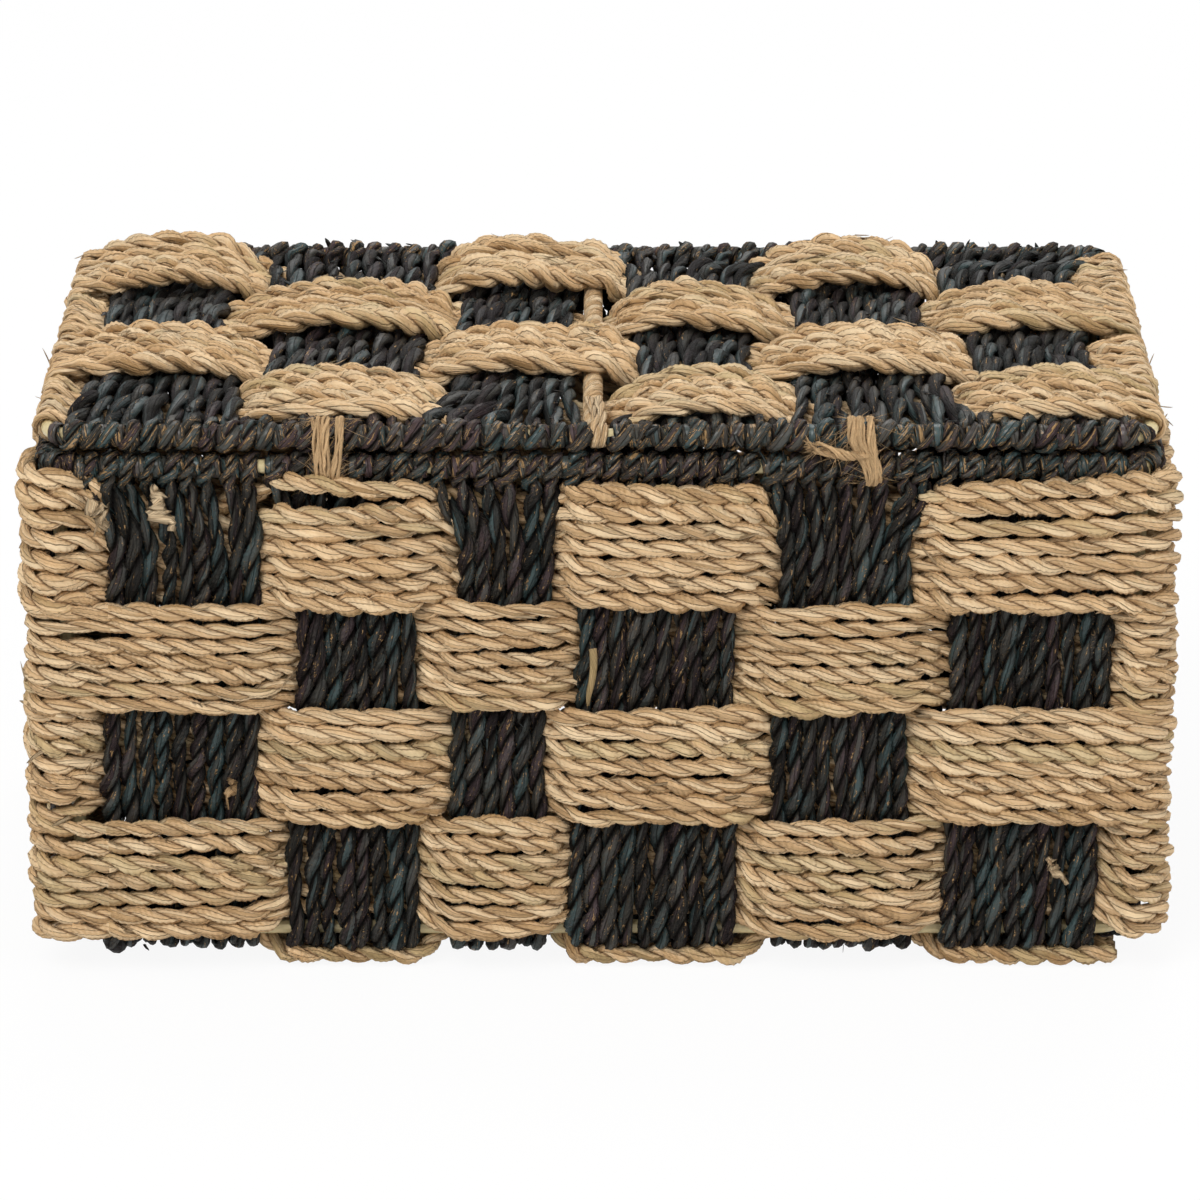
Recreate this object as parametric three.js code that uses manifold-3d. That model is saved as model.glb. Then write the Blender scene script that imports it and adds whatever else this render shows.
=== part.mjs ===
// Woven lidded box on a coated wire frame, in millimetres.
// +Z is up, X runs along the long sides, the hinge ties are on the -Y side,
// and the origin is the middle of the underside.
import * as THREE from 'three';
import { mergeVertices } from 'three/addons/utils/BufferGeometryUtils.js';
import Module from 'manifold-3d';

const wasm = await Module();
wasm.setup();

// Driving sizes
const frame_width = 306;
const frame_depth = 176;
const wall_height = 143.4;
const corner_radius = 8;
const wire_diameter = 4;
const band_thickness = 4.2;
const wrap_thickness = 2;
const seat_gap = 0.3;
const row_gap = 0.6;
const bare_wire = 2.4;
const tie_cord_diameter = 2.4;
const tie_turn_gap = 0.6;
const bar_turn_gap = 0.6;
const slot_overrun = 1;

// Counts
const wall_rows = 4;
const base_rows = 4;
const lid_rows = 4;
const tie_turns = 3;
const bar_turns = 24;
const wire_sides = 10;
const sleeve_sides = 14;
const corner_steps = 5;
const tie_steps = 24;
const tie_sides = 6;
const bar_steps = 12;
const bar_sides = 6;

// Places along the long sides, as shares of the frame's width
const warp_centre_shares = [-0.389, -0.2288, -0.0915, 0.0556, 0.2255, 0.3905];
const warp_width_shares = [0.1307, 0.1144, 0.085, 0.1373, 0.1209, 0.134];
const lid_warp_centre_shares = [-0.4094, -0.2443, -0.085, 0.0997, 0.2565, 0.415];
const lid_warp_width_shares = [0.1258, 0.1324, 0.1144, 0.1111, 0.1307, 0.1144];
const bar_centre_share = -0.0065;
const tie_centre_shares = [-0.2451, 0.2451];

// Places along the short sides, as shares of the frame's depth
const side_warp_centre_shares = [-0.3807, -0.2284, -0.0761, 0.0761, 0.2284, 0.3807];
const side_warp_width_share = 0.0909;

// Sizes worked out from the driving sizes
const wire_radius = wire_diameter / 2;
const half_band = band_thickness / 2;
const weave_step = band_thickness + seat_gap;
const sleeve_inner = wire_radius + seat_gap;
const sleeve_outer = sleeve_inner + wrap_thickness;
const sleeve_middle = (sleeve_inner + sleeve_outer) / 2;
const bend_radius = wire_radius + seat_gap + half_band;
const ramp_clearance = seat_gap + half_band / 2;
const half_width = frame_width / 2;
const half_depth = frame_depth / 2;
const base_level = weave_step + half_band;
const base_wire_level = base_level + bend_radius;
const rim_level = base_level + wall_height;
const lid_level = rim_level + 2 * sleeve_outer + seat_gap;
const tie_cord_radius = tie_cord_diameter / 2;
const tie_loop_radius = sleeve_outer + seat_gap + tie_cord_radius;
const tie_pitch = tie_cord_diameter + tie_turn_gap;
const tie_width = tie_turns * tie_pitch + tie_cord_diameter;
const tie_clear_radius = tie_loop_radius + tie_cord_radius + row_gap;
const row_edge_inset = tie_clear_radius + seat_gap;

// Materials
const natural = { color: 0xcfb181, roughness: 0.85, metalness: 0 };
const dark = { color: 0x2c3338, roughness: 0.75, metalness: 0 };
const coated = { color: 0xd9caa0, roughness: 0.35, metalness: 0 };
const jute = { color: 0xc2a26a, roughness: 0.95, metalness: 0 };

const box = new THREE.Group();

function addPiece(name, geometry, look) {
  const piece = new THREE.Mesh(geometry, new THREE.MeshStandardMaterial(look));
  piece.name = name;
  box.add(piece);
}

// Solids and joins
function toSolid(geometry) {
  const bare = geometry.clone();
  bare.deleteAttribute('normal');
  bare.deleteAttribute('uv');
  const merged = mergeVertices(bare);
  return new wasm.Manifold(new wasm.Mesh({
    numProp: 3,
    vertProperties: new Float32Array(merged.attributes.position.array),
    triVerts: new Uint32Array(merged.index.array),
  }));
}

function fromSolid(solid) {
  const mesh = solid.getMesh();
  const geometry = new THREE.BufferGeometry();
  geometry.setAttribute('position', new THREE.BufferAttribute(mesh.vertProperties, 3));
  geometry.setIndex(new THREE.BufferAttribute(mesh.triVerts, 1));
  geometry.computeVertexNormals();
  return geometry;
}

function joined(geometries, cutters = []) {
  let solid = toSolid(geometries[0]);
  for (const geometry of geometries.slice(1)) solid = solid.add(toSolid(geometry));
  for (const cutter of cutters) solid = solid.subtract(toSolid(cutter));
  return fromSolid(solid);
}

// A tube whose section is an ellipse, swept along points that turn round an axis
function sweptTube(points, axis, acrossRadius, alongRadius, sides, closed) {
  const count = points.length;
  const positions = [];
  for (let i = 0; i < count; i += 1) {
    const before = points[closed ? (i + count - 1) % count : Math.max(i - 1, 0)];
    const after = points[closed ? (i + 1) % count : Math.min(i + 1, count - 1)];
    const tangent = after.clone().sub(before).normalize();
    const along = axis.clone().addScaledVector(tangent, -axis.dot(tangent)).normalize();
    const across = along.clone().cross(tangent);
    for (let k = 0; k < sides; k += 1) {
      const turn = (2 * Math.PI * k) / sides;
      const vertex = points[i].clone();
      vertex.addScaledVector(across, acrossRadius * Math.cos(turn));
      vertex.addScaledVector(along, alongRadius * Math.sin(turn));
      positions.push(vertex.x, vertex.y, vertex.z);
    }
  }
  const index = [];
  const spans = closed ? count : count - 1;
  for (let i = 0; i < spans; i += 1) {
    const near = i * sides;
    const far = ((i + 1) % count) * sides;
    for (let k = 0; k < sides; k += 1) {
      const next = (k + 1) % sides;
      index.push(near + k, near + next, far + next, near + k, far + next, far + k);
    }
  }
  const last = (count - 1) * sides;
  for (let k = 1; k < sides - 1 && !closed; k += 1) {
    index.push(0, k + 1, k, last, last + k, last + k + 1);
  }
  const geometry = new THREE.BufferGeometry();
  geometry.setAttribute('position', new THREE.Float32BufferAttribute(positions, 3));
  geometry.setIndex(index);
  return geometry;
}

// Outlines of bands, from the middle line of each
function offsetLine(line, distance, closed) {
  return line.map((point, i) => {
    const before = closed ? line[(i + line.length - 1) % line.length] : line[Math.max(i - 1, 0)];
    const after = closed ? line[(i + 1) % line.length] : line[Math.min(i + 1, line.length - 1)];
    const into = point.clone().sub(before);
    const out = after.clone().sub(point);
    const a = into.length() > 0 ? into.normalize() : out.clone().normalize();
    const b = out.length() > 0 ? out.normalize() : a.clone();
    const mean = a.clone().add(b).normalize();
    const reach = distance / mean.dot(b);
    return new THREE.Vector2(point.x + mean.y * reach, point.y - mean.x * reach);
  });
}

function openBand(line) {
  const right = offsetLine(line, half_band, false);
  const left = offsetLine(line, -half_band, false).reverse();
  return new THREE.Shape([...right, ...left]);
}

function ringBand(line) {
  const shape = new THREE.Shape(offsetLine(line, half_band, true));
  shape.holes.push(new THREE.Path(offsetLine(line, -half_band, true)));
  return shape;
}

function roundCorner(before, corner, after, radius) {
  const into = corner.clone().sub(before).normalize();
  const out = after.clone().sub(corner).normalize();
  const start = corner.clone().addScaledVector(into, -radius);
  const middle = start.clone().addScaledVector(out, radius);
  const points = [];
  for (let i = 0; i <= corner_steps; i += 1) {
    const turn = (Math.PI / 2) * (i / corner_steps);
    const point = middle.clone();
    point.addScaledVector(out, -radius * Math.cos(turn));
    point.addScaledVector(into, radius * Math.sin(turn));
    points.push(point);
  }
  return points;
}

// Solids whose outline is drawn in one plane and drawn out square to it
function drawnOut(shape, length) {
  return new THREE.ExtrudeGeometry(shape, { depth: length, bevelEnabled: false });
}

function alongX(shape, start, end) {
  const geometry = drawnOut(shape, end - start);
  const turn = new THREE.Matrix4().makeBasis(
    new THREE.Vector3(0, 1, 0), new THREE.Vector3(0, 0, 1), new THREE.Vector3(1, 0, 0));
  geometry.applyMatrix4(turn);
  return geometry.translate(start, 0, 0);
}

function alongY(shape, start, end) {
  const geometry = drawnOut(shape, end - start);
  geometry.rotateX(Math.PI / 2);
  return geometry.translate(0, end, 0);
}

function alongZ(shape, start, end) {
  return drawnOut(shape, end - start).translate(0, 0, start);
}

function circle(across, level, radius) {
  const points = [];
  for (let i = 0; i < sleeve_sides; i += 1) {
    const turn = (2 * Math.PI * i) / sleeve_sides;
    points.push(new THREE.Vector2(across + radius * Math.cos(turn), level + radius * Math.sin(turn)));
  }
  return points;
}

function ringShape(across, level, inner, outer) {
  const shape = new THREE.Shape(circle(across, level, outer));
  shape.holes.push(new THREE.Path(circle(across, level, inner)));
  return shape;
}

function sleeveShape(across, level) {
  return ringShape(across, level, sleeve_inner, sleeve_outer);
}

// Where the strips lie: spans of each band along its side, and of the sleeve that turns
// round the wire above it
function spansOf(centres, widths, size) {
  return centres.map((share, i) => ({
    start: (share - widths[i] / 2) * size,
    end: (share + widths[i] / 2) * size,
  }));
}

function withSleeves(spans, limit) {
  return spans.map((span, i) => ({
    ...span,
    from: i === 0 ? -limit : (spans[i - 1].end + span.start + bare_wire) / 2,
    to: i === spans.length - 1 ? limit : (span.end + spans[i + 1].start - bare_wire) / 2,
  }));
}

const side_widths = side_warp_centre_shares.map(() => side_warp_width_share);
const sleeve_limit_x = half_width - corner_radius - seat_gap;
const sleeve_limit_y = half_depth - corner_radius - seat_gap;
const warps = withSleeves(spansOf(warp_centre_shares, warp_width_shares, frame_width), sleeve_limit_x);
const side_warps = withSleeves(
  spansOf(side_warp_centre_shares, side_widths, frame_depth), sleeve_limit_y);
const bar_centre = bar_centre_share * frame_width;
const lid_spans = spansOf(lid_warp_centre_shares, lid_warp_width_shares, frame_width);
const bar_span = { start: bar_centre - sleeve_outer, end: bar_centre + sleeve_outer };
const bar_place = lid_spans.filter((span) => span.start < bar_centre).length;
const lid_line = [...lid_spans.slice(0, bar_place), bar_span, ...lid_spans.slice(bar_place)];
const lid_sleeves = withSleeves(lid_line, sleeve_limit_x);
const lid_warps = lid_sleeves.filter((span, i) => i !== bar_place);

// Wire frame of the body: rim ring, base ring and four corner posts
function ringPoints(width, depth, level) {
  const x = width / 2;
  const y = depth / 2;
  const corners = [[x, -y], [x, y], [-x, y], [-x, -y]].map(([a, b]) => new THREE.Vector2(a, b));
  const points = corners.flatMap((corner, i) => roundCorner(
    corners[(i + 3) % 4], corner, corners[(i + 1) % 4], corner_radius));
  return points.map((point) => new THREE.Vector3(point.x, point.y, level));
}

function wireRing(width, depth, level) {
  const up = new THREE.Vector3(0, 0, 1);
  return sweptTube(ringPoints(width, depth, level), up, wire_radius, wire_radius, wire_sides, true);
}

function wireRod(start, end) {
  const reach = end.clone().sub(start);
  const rod = new THREE.CylinderGeometry(wire_radius, wire_radius, reach.length(), wire_sides);
  const turn = new THREE.Quaternion();
  turn.setFromUnitVectors(new THREE.Vector3(0, 1, 0), reach.clone().normalize());
  rod.applyQuaternion(turn);
  const middle = start.clone().addScaledVector(reach, 1 / 2);
  return rod.translate(middle.x, middle.y, middle.z);
}

const corner_inset = corner_radius * (1 - Math.SQRT1_2);
const base_width = frame_width - 2 * bend_radius;
const base_depth = frame_depth - 2 * bend_radius;

function makeBodyFrame() {
  const parts = [
    wireRing(frame_width, frame_depth, rim_level),
    wireRing(base_width, base_depth, base_wire_level),
  ];
  for (const x of [-1, 1]) {
    for (const y of [-1, 1]) {
      parts.push(wireRod(
        new THREE.Vector3(
          x * (base_width / 2 - corner_inset), y * (base_depth / 2 - corner_inset), base_wire_level),
        new THREE.Vector3(x * (half_width - corner_inset), y * (half_depth - corner_inset), rim_level)));
    }
  }
  addPiece('body_frame', joined(parts), coated);
}

// Slots that leave room for a hinge tie round each rim
function tieSlots(level) {
  return tie_centre_shares.map((share) => {
    const outline = ringShape(-half_depth, level, sleeve_outer, tie_clear_radius);
    const reach = tie_width / 2 + slot_overrun;
    return alongX(outline, share * frame_width - reach, share * frame_width + reach);
  });
}

// Dark bands that run down the front, under the base and up the back, turned round the rim wire
function makeWarps() {
  const top = rim_level - sleeve_middle;
  const front = [
    new THREE.Vector2(-half_depth, top),
    new THREE.Vector2(-half_depth, base_level),
    new THREE.Vector2(half_depth, base_level),
    new THREE.Vector2(half_depth, top),
  ];
  const line = [
    front[0],
    ...roundCorner(front[0], front[1], front[2], bend_radius),
    ...roundCorner(front[1], front[2], front[3], bend_radius),
    front[3],
  ];
  warps.forEach((warp, i) => {
    const parts = [
      alongX(openBand(line), warp.start, warp.end),
      alongX(sleeveShape(-half_depth, rim_level), warp.from, warp.to),
      alongX(sleeveShape(half_depth, rim_level), warp.from, warp.to),
    ];
    addPiece(`warp_${i + 1}`, joined(parts, tieSlots(rim_level)), dark);
  });
}

// Dark bands of the short sides, turned round the rim wire and tucked under the base ring
function makeSideWarps() {
  const inner_end = Math.max(...warps.map((warp) => warp.end), ...warps.map((warp) => -warp.start));
  const top = rim_level - sleeve_middle;
  for (const [side, sign] of [['left', -1], ['right', 1]]) {
    const points = [
      new THREE.Vector2(sign * half_width, top),
      new THREE.Vector2(sign * half_width, base_level),
      new THREE.Vector2(sign * (inner_end + row_gap), base_level),
    ];
    const line = [points[0], ...roundCorner(points[0], points[1], points[2], bend_radius), points[2]];
    side_warps.forEach((warp, i) => {
      const parts = [
        alongY(openBand(line), warp.start, warp.end),
        alongY(sleeveShape(sign * half_width, rim_level), warp.from, warp.to),
      ];
      addPiece(`side_warp_${side}_${i + 1}`, joined(parts), dark);
    });
  }
}

// The middle line of a band that passes over and under the crossings of one side.
// Each crossing is a span along the side with the height at which the band passes it.
function wovenLine(crossings) {
  return crossings.flatMap(({ start, end, height }) => [
    new THREE.Vector2(start - ramp_clearance, height),
    new THREE.Vector2(end + ramp_clearance, height),
  ]);
}

function alternating(spans, first) {
  return spans.map((span, i) => ({ ...span, height: (i % 2 === 0 ? first : -first) * weave_step }));
}

// Natural bands that go round the four walls, out and in past the dark bands.
// A height is the distance outwards from the plane of the dark bands.
function makeWallWefts() {
  const low = base_wire_level + wire_radius + seat_gap;
  const high = rim_level - row_edge_inset;
  const pitch = (high - low) / wall_rows;
  const outer = weave_step;
  const corner_arc = bend_radius + seat_gap + half_band;
  const x = half_width + outer;
  const y = half_depth + outer;
  const corners = [[x, -y], [x, y], [-x, y], [-x, -y]].map(([a, b]) => new THREE.Vector2(a, b));
  for (let row = 0; row < wall_rows; row += 1) {
    const out_first = row % 2 === 0 ? -1 : 1;
    const front = wovenLine(alternating(warps, out_first));
    const right = wovenLine(alternating(side_warps, out_first));
    const back = wovenLine(alternating(warps, -out_first));
    const left = wovenLine(alternating(side_warps, -out_first));
    const sides = [
      front.map((p) => new THREE.Vector2(p.x, -half_depth - p.y)),
      right.map((p) => new THREE.Vector2(half_width + p.y, p.x)),
      back.map((p) => new THREE.Vector2(p.x, half_depth + p.y)).reverse(),
      left.map((p) => new THREE.Vector2(-half_width - p.y, p.x)).reverse(),
    ];
    const line = sides.flatMap((side, i) => [
      ...side,
      ...roundCorner(corners[(i + 3) % 4], corners[i], corners[(i + 1) % 4], corner_arc),
    ]);
    const bottom = high - (row + 1) * pitch + row_gap / 2;
    addPiece(`wall_weft_${row + 1}`,
      alongZ(ringBand(line), bottom, bottom + pitch - row_gap), natural);
  }
}

// Natural bands of the base
function makeBaseWefts() {
  const edge = base_depth / 2 - wire_radius - seat_gap;
  const pitch = (2 * edge) / base_rows;
  const inside_reach = base_width / 2 - corner_radius;
  const outside_reach = base_width / 2;
  for (let row = 0; row < base_rows; row += 1) {
    const first = row % 2 === 0 ? 1 : -1;
    const line = wovenLine(alternating(warps, first));
    const reach_of = (height) => (height > 0 ? inside_reach : outside_reach);
    line[0].x = -reach_of(line[0].y);
    line[line.length - 1].x = reach_of(line[line.length - 1].y);
    for (const point of line) point.y += base_level;
    const start = -edge + row * pitch + row_gap / 2;
    addPiece(`base_weft_${row + 1}`,
      alongY(openBand(line), start, start + pitch - row_gap), natural);
  }
}

// Wire frame of the lid: a ring with one bar across its middle
function makeLidFrame() {
  const bar = wireRod(
    new THREE.Vector3(bar_centre, -half_depth, lid_level),
    new THREE.Vector3(bar_centre, half_depth, lid_level));
  addPiece('lid_frame', joined([wireRing(frame_width, frame_depth, lid_level), bar]), coated);
}

// Dark bands of the lid, turned round its front and back wires
function makeLidWarps() {
  const reach = half_depth - sleeve_middle;
  const line = [new THREE.Vector2(-reach, lid_level), new THREE.Vector2(reach, lid_level)];
  lid_warps.forEach((warp, i) => {
    const parts = [
      alongX(openBand(line), warp.start, warp.end),
      alongX(sleeveShape(-half_depth, lid_level), warp.from, warp.to),
      alongX(sleeveShape(half_depth, lid_level), warp.from, warp.to),
    ];
    addPiece(`lid_warp_${i + 1}`, joined(parts, tieSlots(lid_level)), dark);
  });
}

// Natural bands of the lid, turned round its side wires. The bar passes on the same side of
// each band as the dark band on its left.
function makeLidWefts() {
  const edge = half_depth - row_edge_inset;
  const pitch = (2 * edge) / lid_rows;
  const bar_step = sleeve_outer + seat_gap + half_band;
  for (let row = 0; row < lid_rows; row += 1) {
    const first = row % 2 === 0 ? -1 : 1;
    const crossings = alternating(lid_spans, first);
    const bar_side = Math.sign(crossings[bar_place - 1].height);
    crossings.splice(bar_place, 0, { ...bar_span, height: bar_side * bar_step });
    const line = wovenLine(crossings);
    const neighbour = line[2 * bar_place - 1];
    neighbour.x = Math.min(neighbour.x, lid_spans[bar_place - 1].end - half_band);
    line[2 * bar_place].x = bar_span.start - seat_gap;
    line.unshift(new THREE.Vector2(-half_width + sleeve_middle, 0));
    line.push(new THREE.Vector2(half_width - sleeve_middle, 0));
    for (const point of line) point.y += lid_level;
    const start = -edge + row * pitch + row_gap / 2;
    const end = start + pitch - row_gap;
    const parts = [
      alongY(openBand(line), start, end),
      alongY(sleeveShape(-half_width, lid_level), Math.max(start, -sleeve_limit_y),
        Math.min(end, sleeve_limit_y)),
      alongY(sleeveShape(half_width, lid_level), Math.max(start, -sleeve_limit_y),
        Math.min(end, sleeve_limit_y)),
    ];
    addPiece(`lid_weft_${row + 1}`, joined(parts), natural);
  }
}

// The least distance between a winding's points and those of its other turns, less its width
function leastGap(points, stepsPerTurn, width) {
  let least = Infinity;
  for (let i = 0; i < points.length; i += 1) {
    for (let j = i + Math.round(stepsPerTurn / 2); j < points.length; j += 1) {
      least = Math.min(least, points[i].distanceTo(points[j]));
    }
  }
  return least - width;
}

// Natural cord wound round the bar of the lid
function makeBarWrap() {
  const reach = half_depth - wire_radius - 2 * seat_gap;
  const pitch = (2 * reach) / (bar_turns + 1);
  const slant = Math.atan(pitch / (2 * Math.PI * sleeve_middle));
  const half_cord = (pitch * Math.cos(slant) - bar_turn_gap) / 2;
  const points = [];
  for (let i = 0; i <= bar_turns * bar_steps; i += 1) {
    const turn = (2 * Math.PI * i) / bar_steps;
    points.push(new THREE.Vector3(
      bar_centre + sleeve_middle * Math.cos(turn),
      -reach + half_cord + (pitch * i) / bar_steps,
      lid_level + sleeve_middle * Math.sin(turn)));
  }
  const axis = new THREE.Vector3(0, 1, 0);
  console.log('bar wrap gap', leastGap(points, bar_steps, 2 * half_cord).toFixed(2));
  addPiece('lid_bar_wrap',
    sweptTube(points, axis, wrap_thickness / 2, half_cord, bar_sides, false), natural);
}

// Jute ties that lash the front wire of the lid to the rim of the body
function makeTies() {
  const run = lid_level - rim_level;
  const arc = Math.PI * tie_loop_radius;
  const round = 2 * (arc + run);
  const stadium = (distance) => {
    const place = ((distance % round) + round) % round;
    if (place < run) return new THREE.Vector2(-tie_loop_radius, rim_level + place);
    if (place < run + arc) {
      const turn = Math.PI - (place - run) / tie_loop_radius;
      return new THREE.Vector2(
        tie_loop_radius * Math.cos(turn), lid_level + tie_loop_radius * Math.sin(turn));
    }
    if (place < 2 * run + arc) {
      return new THREE.Vector2(tie_loop_radius, lid_level - (place - run - arc));
    }
    const turn = -(place - 2 * run - arc) / tie_loop_radius;
    return new THREE.Vector2(
      tie_loop_radius * Math.cos(turn), rim_level + tie_loop_radius * Math.sin(turn));
  };
  const axis = new THREE.Vector3(1, 0, 0);
  ['left', 'right'].forEach((side, n) => {
    const points = [];
    for (let i = 0; i <= tie_turns * tie_steps; i += 1) {
      const place = stadium((round * i) / tie_steps);
      points.push(new THREE.Vector3(
        tie_centre_shares[n] * frame_width + tie_pitch * (i / tie_steps - tie_turns / 2),
        -half_depth + place.x, place.y));
    }
    console.log('tie gap', leastGap(points, tie_steps, tie_cord_diameter).toFixed(2));
    addPiece(`hinge_tie_${side}`,
      sweptTube(points, axis, tie_cord_radius, tie_cord_radius, tie_sides, false), jute);
  });
}

makeBodyFrame();
makeWarps();
makeSideWarps();
makeWallWefts();
makeBaseWefts();
makeLidFrame();
makeLidWarps();
makeLidWefts();
makeBarWrap();
makeTies();

export default box;
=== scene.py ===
"""Woven lidded box of seagrass cord on a coated wire frame, with its stage."""
import math

import bpy
import numpy as np
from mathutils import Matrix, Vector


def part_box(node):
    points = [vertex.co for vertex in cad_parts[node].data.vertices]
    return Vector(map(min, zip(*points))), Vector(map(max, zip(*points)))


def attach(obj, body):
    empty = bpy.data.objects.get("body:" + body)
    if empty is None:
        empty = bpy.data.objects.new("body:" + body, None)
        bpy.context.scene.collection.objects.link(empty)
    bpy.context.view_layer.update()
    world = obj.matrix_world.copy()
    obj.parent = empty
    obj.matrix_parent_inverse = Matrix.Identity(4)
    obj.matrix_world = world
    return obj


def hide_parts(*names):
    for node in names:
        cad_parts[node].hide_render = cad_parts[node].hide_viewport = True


bl_info = {
    "name": "Woven Lidded Box",
    "version": (1, 0, 0),
    "blender": (4, 5, 0),
    "location": "View3D > Sidebar > Woven Box",
    "description": "Twists the cords, weaves the bands and lashes the lid of a seagrass box",
    "category": "Object",
}

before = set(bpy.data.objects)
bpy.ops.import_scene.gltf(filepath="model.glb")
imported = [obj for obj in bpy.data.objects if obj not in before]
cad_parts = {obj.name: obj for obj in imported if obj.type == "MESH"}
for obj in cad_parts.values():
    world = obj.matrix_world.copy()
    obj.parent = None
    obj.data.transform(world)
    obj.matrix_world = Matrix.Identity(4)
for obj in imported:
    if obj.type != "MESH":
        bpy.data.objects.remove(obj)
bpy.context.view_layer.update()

MM = 0.001
ROWS = 4
WIRE_RADIUS = 2 * MM
WIRE_CORNER = 8 * MM
RIM_TURN = 3.1 * MM
BASE_TURN = 4.4 * MM
LEAF_WIDTH = 4.4 * MM
WALL_FOOT = 12.2 * MM
FINE_STEP = 0.8 * MM
LONG_SIDES = ("front", "back")

# Places of the frame's wires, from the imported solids
lid_low, lid_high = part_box("lid_frame")
body_low, body_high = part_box("body_frame")
wire_half = (lid_high.z - lid_low.z) / 2
half_width = lid_high.x - WIRE_RADIUS
half_depth = lid_high.y - WIRE_RADIUS
lid_level = (lid_low.z + lid_high.z) / 2
lid_edge = half_depth - 5.5 * MM
rim_level = body_high.z - wire_half
base_wire_level = body_low.z + wire_half


def middle_of(name):
    low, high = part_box(name)
    return (low.x + high.x) / 2


bar_centre = middle_of("lid_bar_wrap")
tie_centres = [middle_of("hinge_tie_left"), middle_of("hinge_tie_right")]

# Bands as shares of the frame's width or depth: centre and width of each
warp_shares = [(-0.389, 0.139), (-0.2288, 0.121), (-0.0915, 0.096),
               (0.0556, 0.148), (0.2255, 0.129), (0.3905, 0.144)]
lid_warp_shares = [(-0.4094, 0.135), (-0.2443, 0.142), (-0.085, 0.124),
                   (0.0997, 0.121), (0.2565, 0.14), (0.415, 0.123)]
side_warp_shares = [(-0.3807, 0.115), (-0.2284, 0.115), (-0.0761, 0.115),
                    (0.0761, 0.115), (0.2284, 0.115), (0.3807, 0.115)]

# Unevenness of the weave, in millimetres: how far to the right of their even places the left
# and the right edge of each dark band lie in each row, on the front wall from the top and on
# the lid from the front
front_wander = [
    [(4.5, 4), (2.5, 3), (0.5, 1.7), (0.5, 1.5)], [(2, 0), (4.5, -0.3), (2, 0), (0, 0.6)],
    [(3.3, 1), (2, -0.5), (0.8, -2.4), (0.5, -1.5)], [(0, -1), (0, -2.5), (-2, -1.5), (-3.6, -0.8)],
    [(0.7, -2), (0, -2.4), (-1, -2.8), (-1, -1)], [(0.5, 0.5), (0.6, 0.6), (0, 0), (-0.5, -1.2)]]
lid_wander = [
    [(0.4, 5), (1.5, 0), (2.7, -6), (1, -3)], [(0, 2), (2, 1.5), (0, 3), (-1.8, 6)],
    [(4, 0), (4, 0), (4, 0), (2, 0)], [(0, -2), (-1.6, -6), (-3, -5), (-5, -4.7)],
    [(-3, -1), (-2, -3), (-1, -6), (-3, -5)], [(0, 0), (-1.4, -6.5), (-4, -5), (-9, -6.5)]]


def length_of(name, description, value):
    return bpy.props.FloatProperty(name=name, description=description, default=value, unit="LENGTH")


def colour_of(name, description, value):
    return bpy.props.FloatVectorProperty(
        name=name, description=description, subtype="COLOR", size=3, default=value)


class CordSizes(bpy.types.PropertyGroup):
    """Sizes of the cords and of how they lie"""

    natural_diameter: length_of("Natural cord", "Diameter of the natural cord", 5.8 * MM)
    natural_lay: length_of("Natural lay", "Length of one turn of the natural strands", 16.2 * MM)
    dark_diameter: length_of("Dark cord", "Diameter of the dark cord", 5.25 * MM)
    dark_lay: length_of("Dark lay", "Length of one turn of the dark strands", 17 * MM)
    jute_diameter: length_of("Jute string", "Diameter of the tie string", 2.4 * MM)
    weave_step: length_of("Weave step", "How far natural bands stand out past dark ones", 4.4 * MM)
    cords_per_wall_band: bpy.props.IntProperty(
        name="Wall band cords", description="Natural cords in one band of the walls or the base",
        default=7)
    cords_per_lid_band: bpy.props.IntProperty(
        name="Lid band cords", description="Natural cords in one band of the lid", default=5)


class BoxColours(bpy.types.PropertyGroup):
    """Colours of the cords, the wire and the ties"""

    straw: colour_of("Straw", "Middle colour of the natural cord", (0.735, 0.485, 0.256))
    straw_pale: colour_of("Pale straw", "Lightest colour of the natural cord", (0.91, 0.69, 0.43))
    straw_deep: colour_of("Deep straw", "Darkest colour of the natural cord", (0.46, 0.272, 0.117))
    straw_green: colour_of("Green straw", "Greenish leaves in the natural cord", (0.58, 0.46, 0.23))
    # Painted shade: the colour laid into the creases between the natural strands and along the
    # edges of their leaves
    straw_crease_shade: colour_of("Straw crease", "Between the natural strands", (0.19, 0.10, 0.045))
    dye: colour_of("Dye", "Middle colour of the dark cord", (0.029, 0.0268, 0.0222))
    dye_teal: colour_of("Teal dye", "Blue-green leaves in the dark cord", (0.019, 0.035, 0.0355))
    dye_plum: colour_of("Plum dye", "Brown-purple leaves in the dark cord", (0.045, 0.029, 0.031))
    # Painted shade: the colour laid into the creases between the dark strands and along the edges
    # of their leaves
    dye_crease_shade: colour_of("Dyed crease", "Between the dark strands", (0.003, 0.0018, 0.0012))
    fleck: colour_of("Fleck", "Undyed slivers in the dark cord", (0.44, 0.27, 0.12))
    wire: colour_of("Wire coating", "Colour of the wire's coating", (0.68, 0.56, 0.30))
    jute: colour_of("Jute", "Colour of the tie string", (0.62, 0.41, 0.215))


class StageSettings(bpy.types.PropertyGroup):
    """Place and lens of the camera"""

    elevation: bpy.props.FloatProperty(
        name="Camera height", description="Angle of the camera above the floor",
        default=math.radians(19.3), subtype="ANGLE")
    distance: length_of("Camera distance", "From the camera to the box", 1.868)
    lens: bpy.props.FloatProperty(
        name="Lens", description="Focal length in millimetres", default=191.1)
    aim_height: length_of("Aim height", "Height of the point in the middle of the picture", 80 * MM)


# Curves through space

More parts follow.
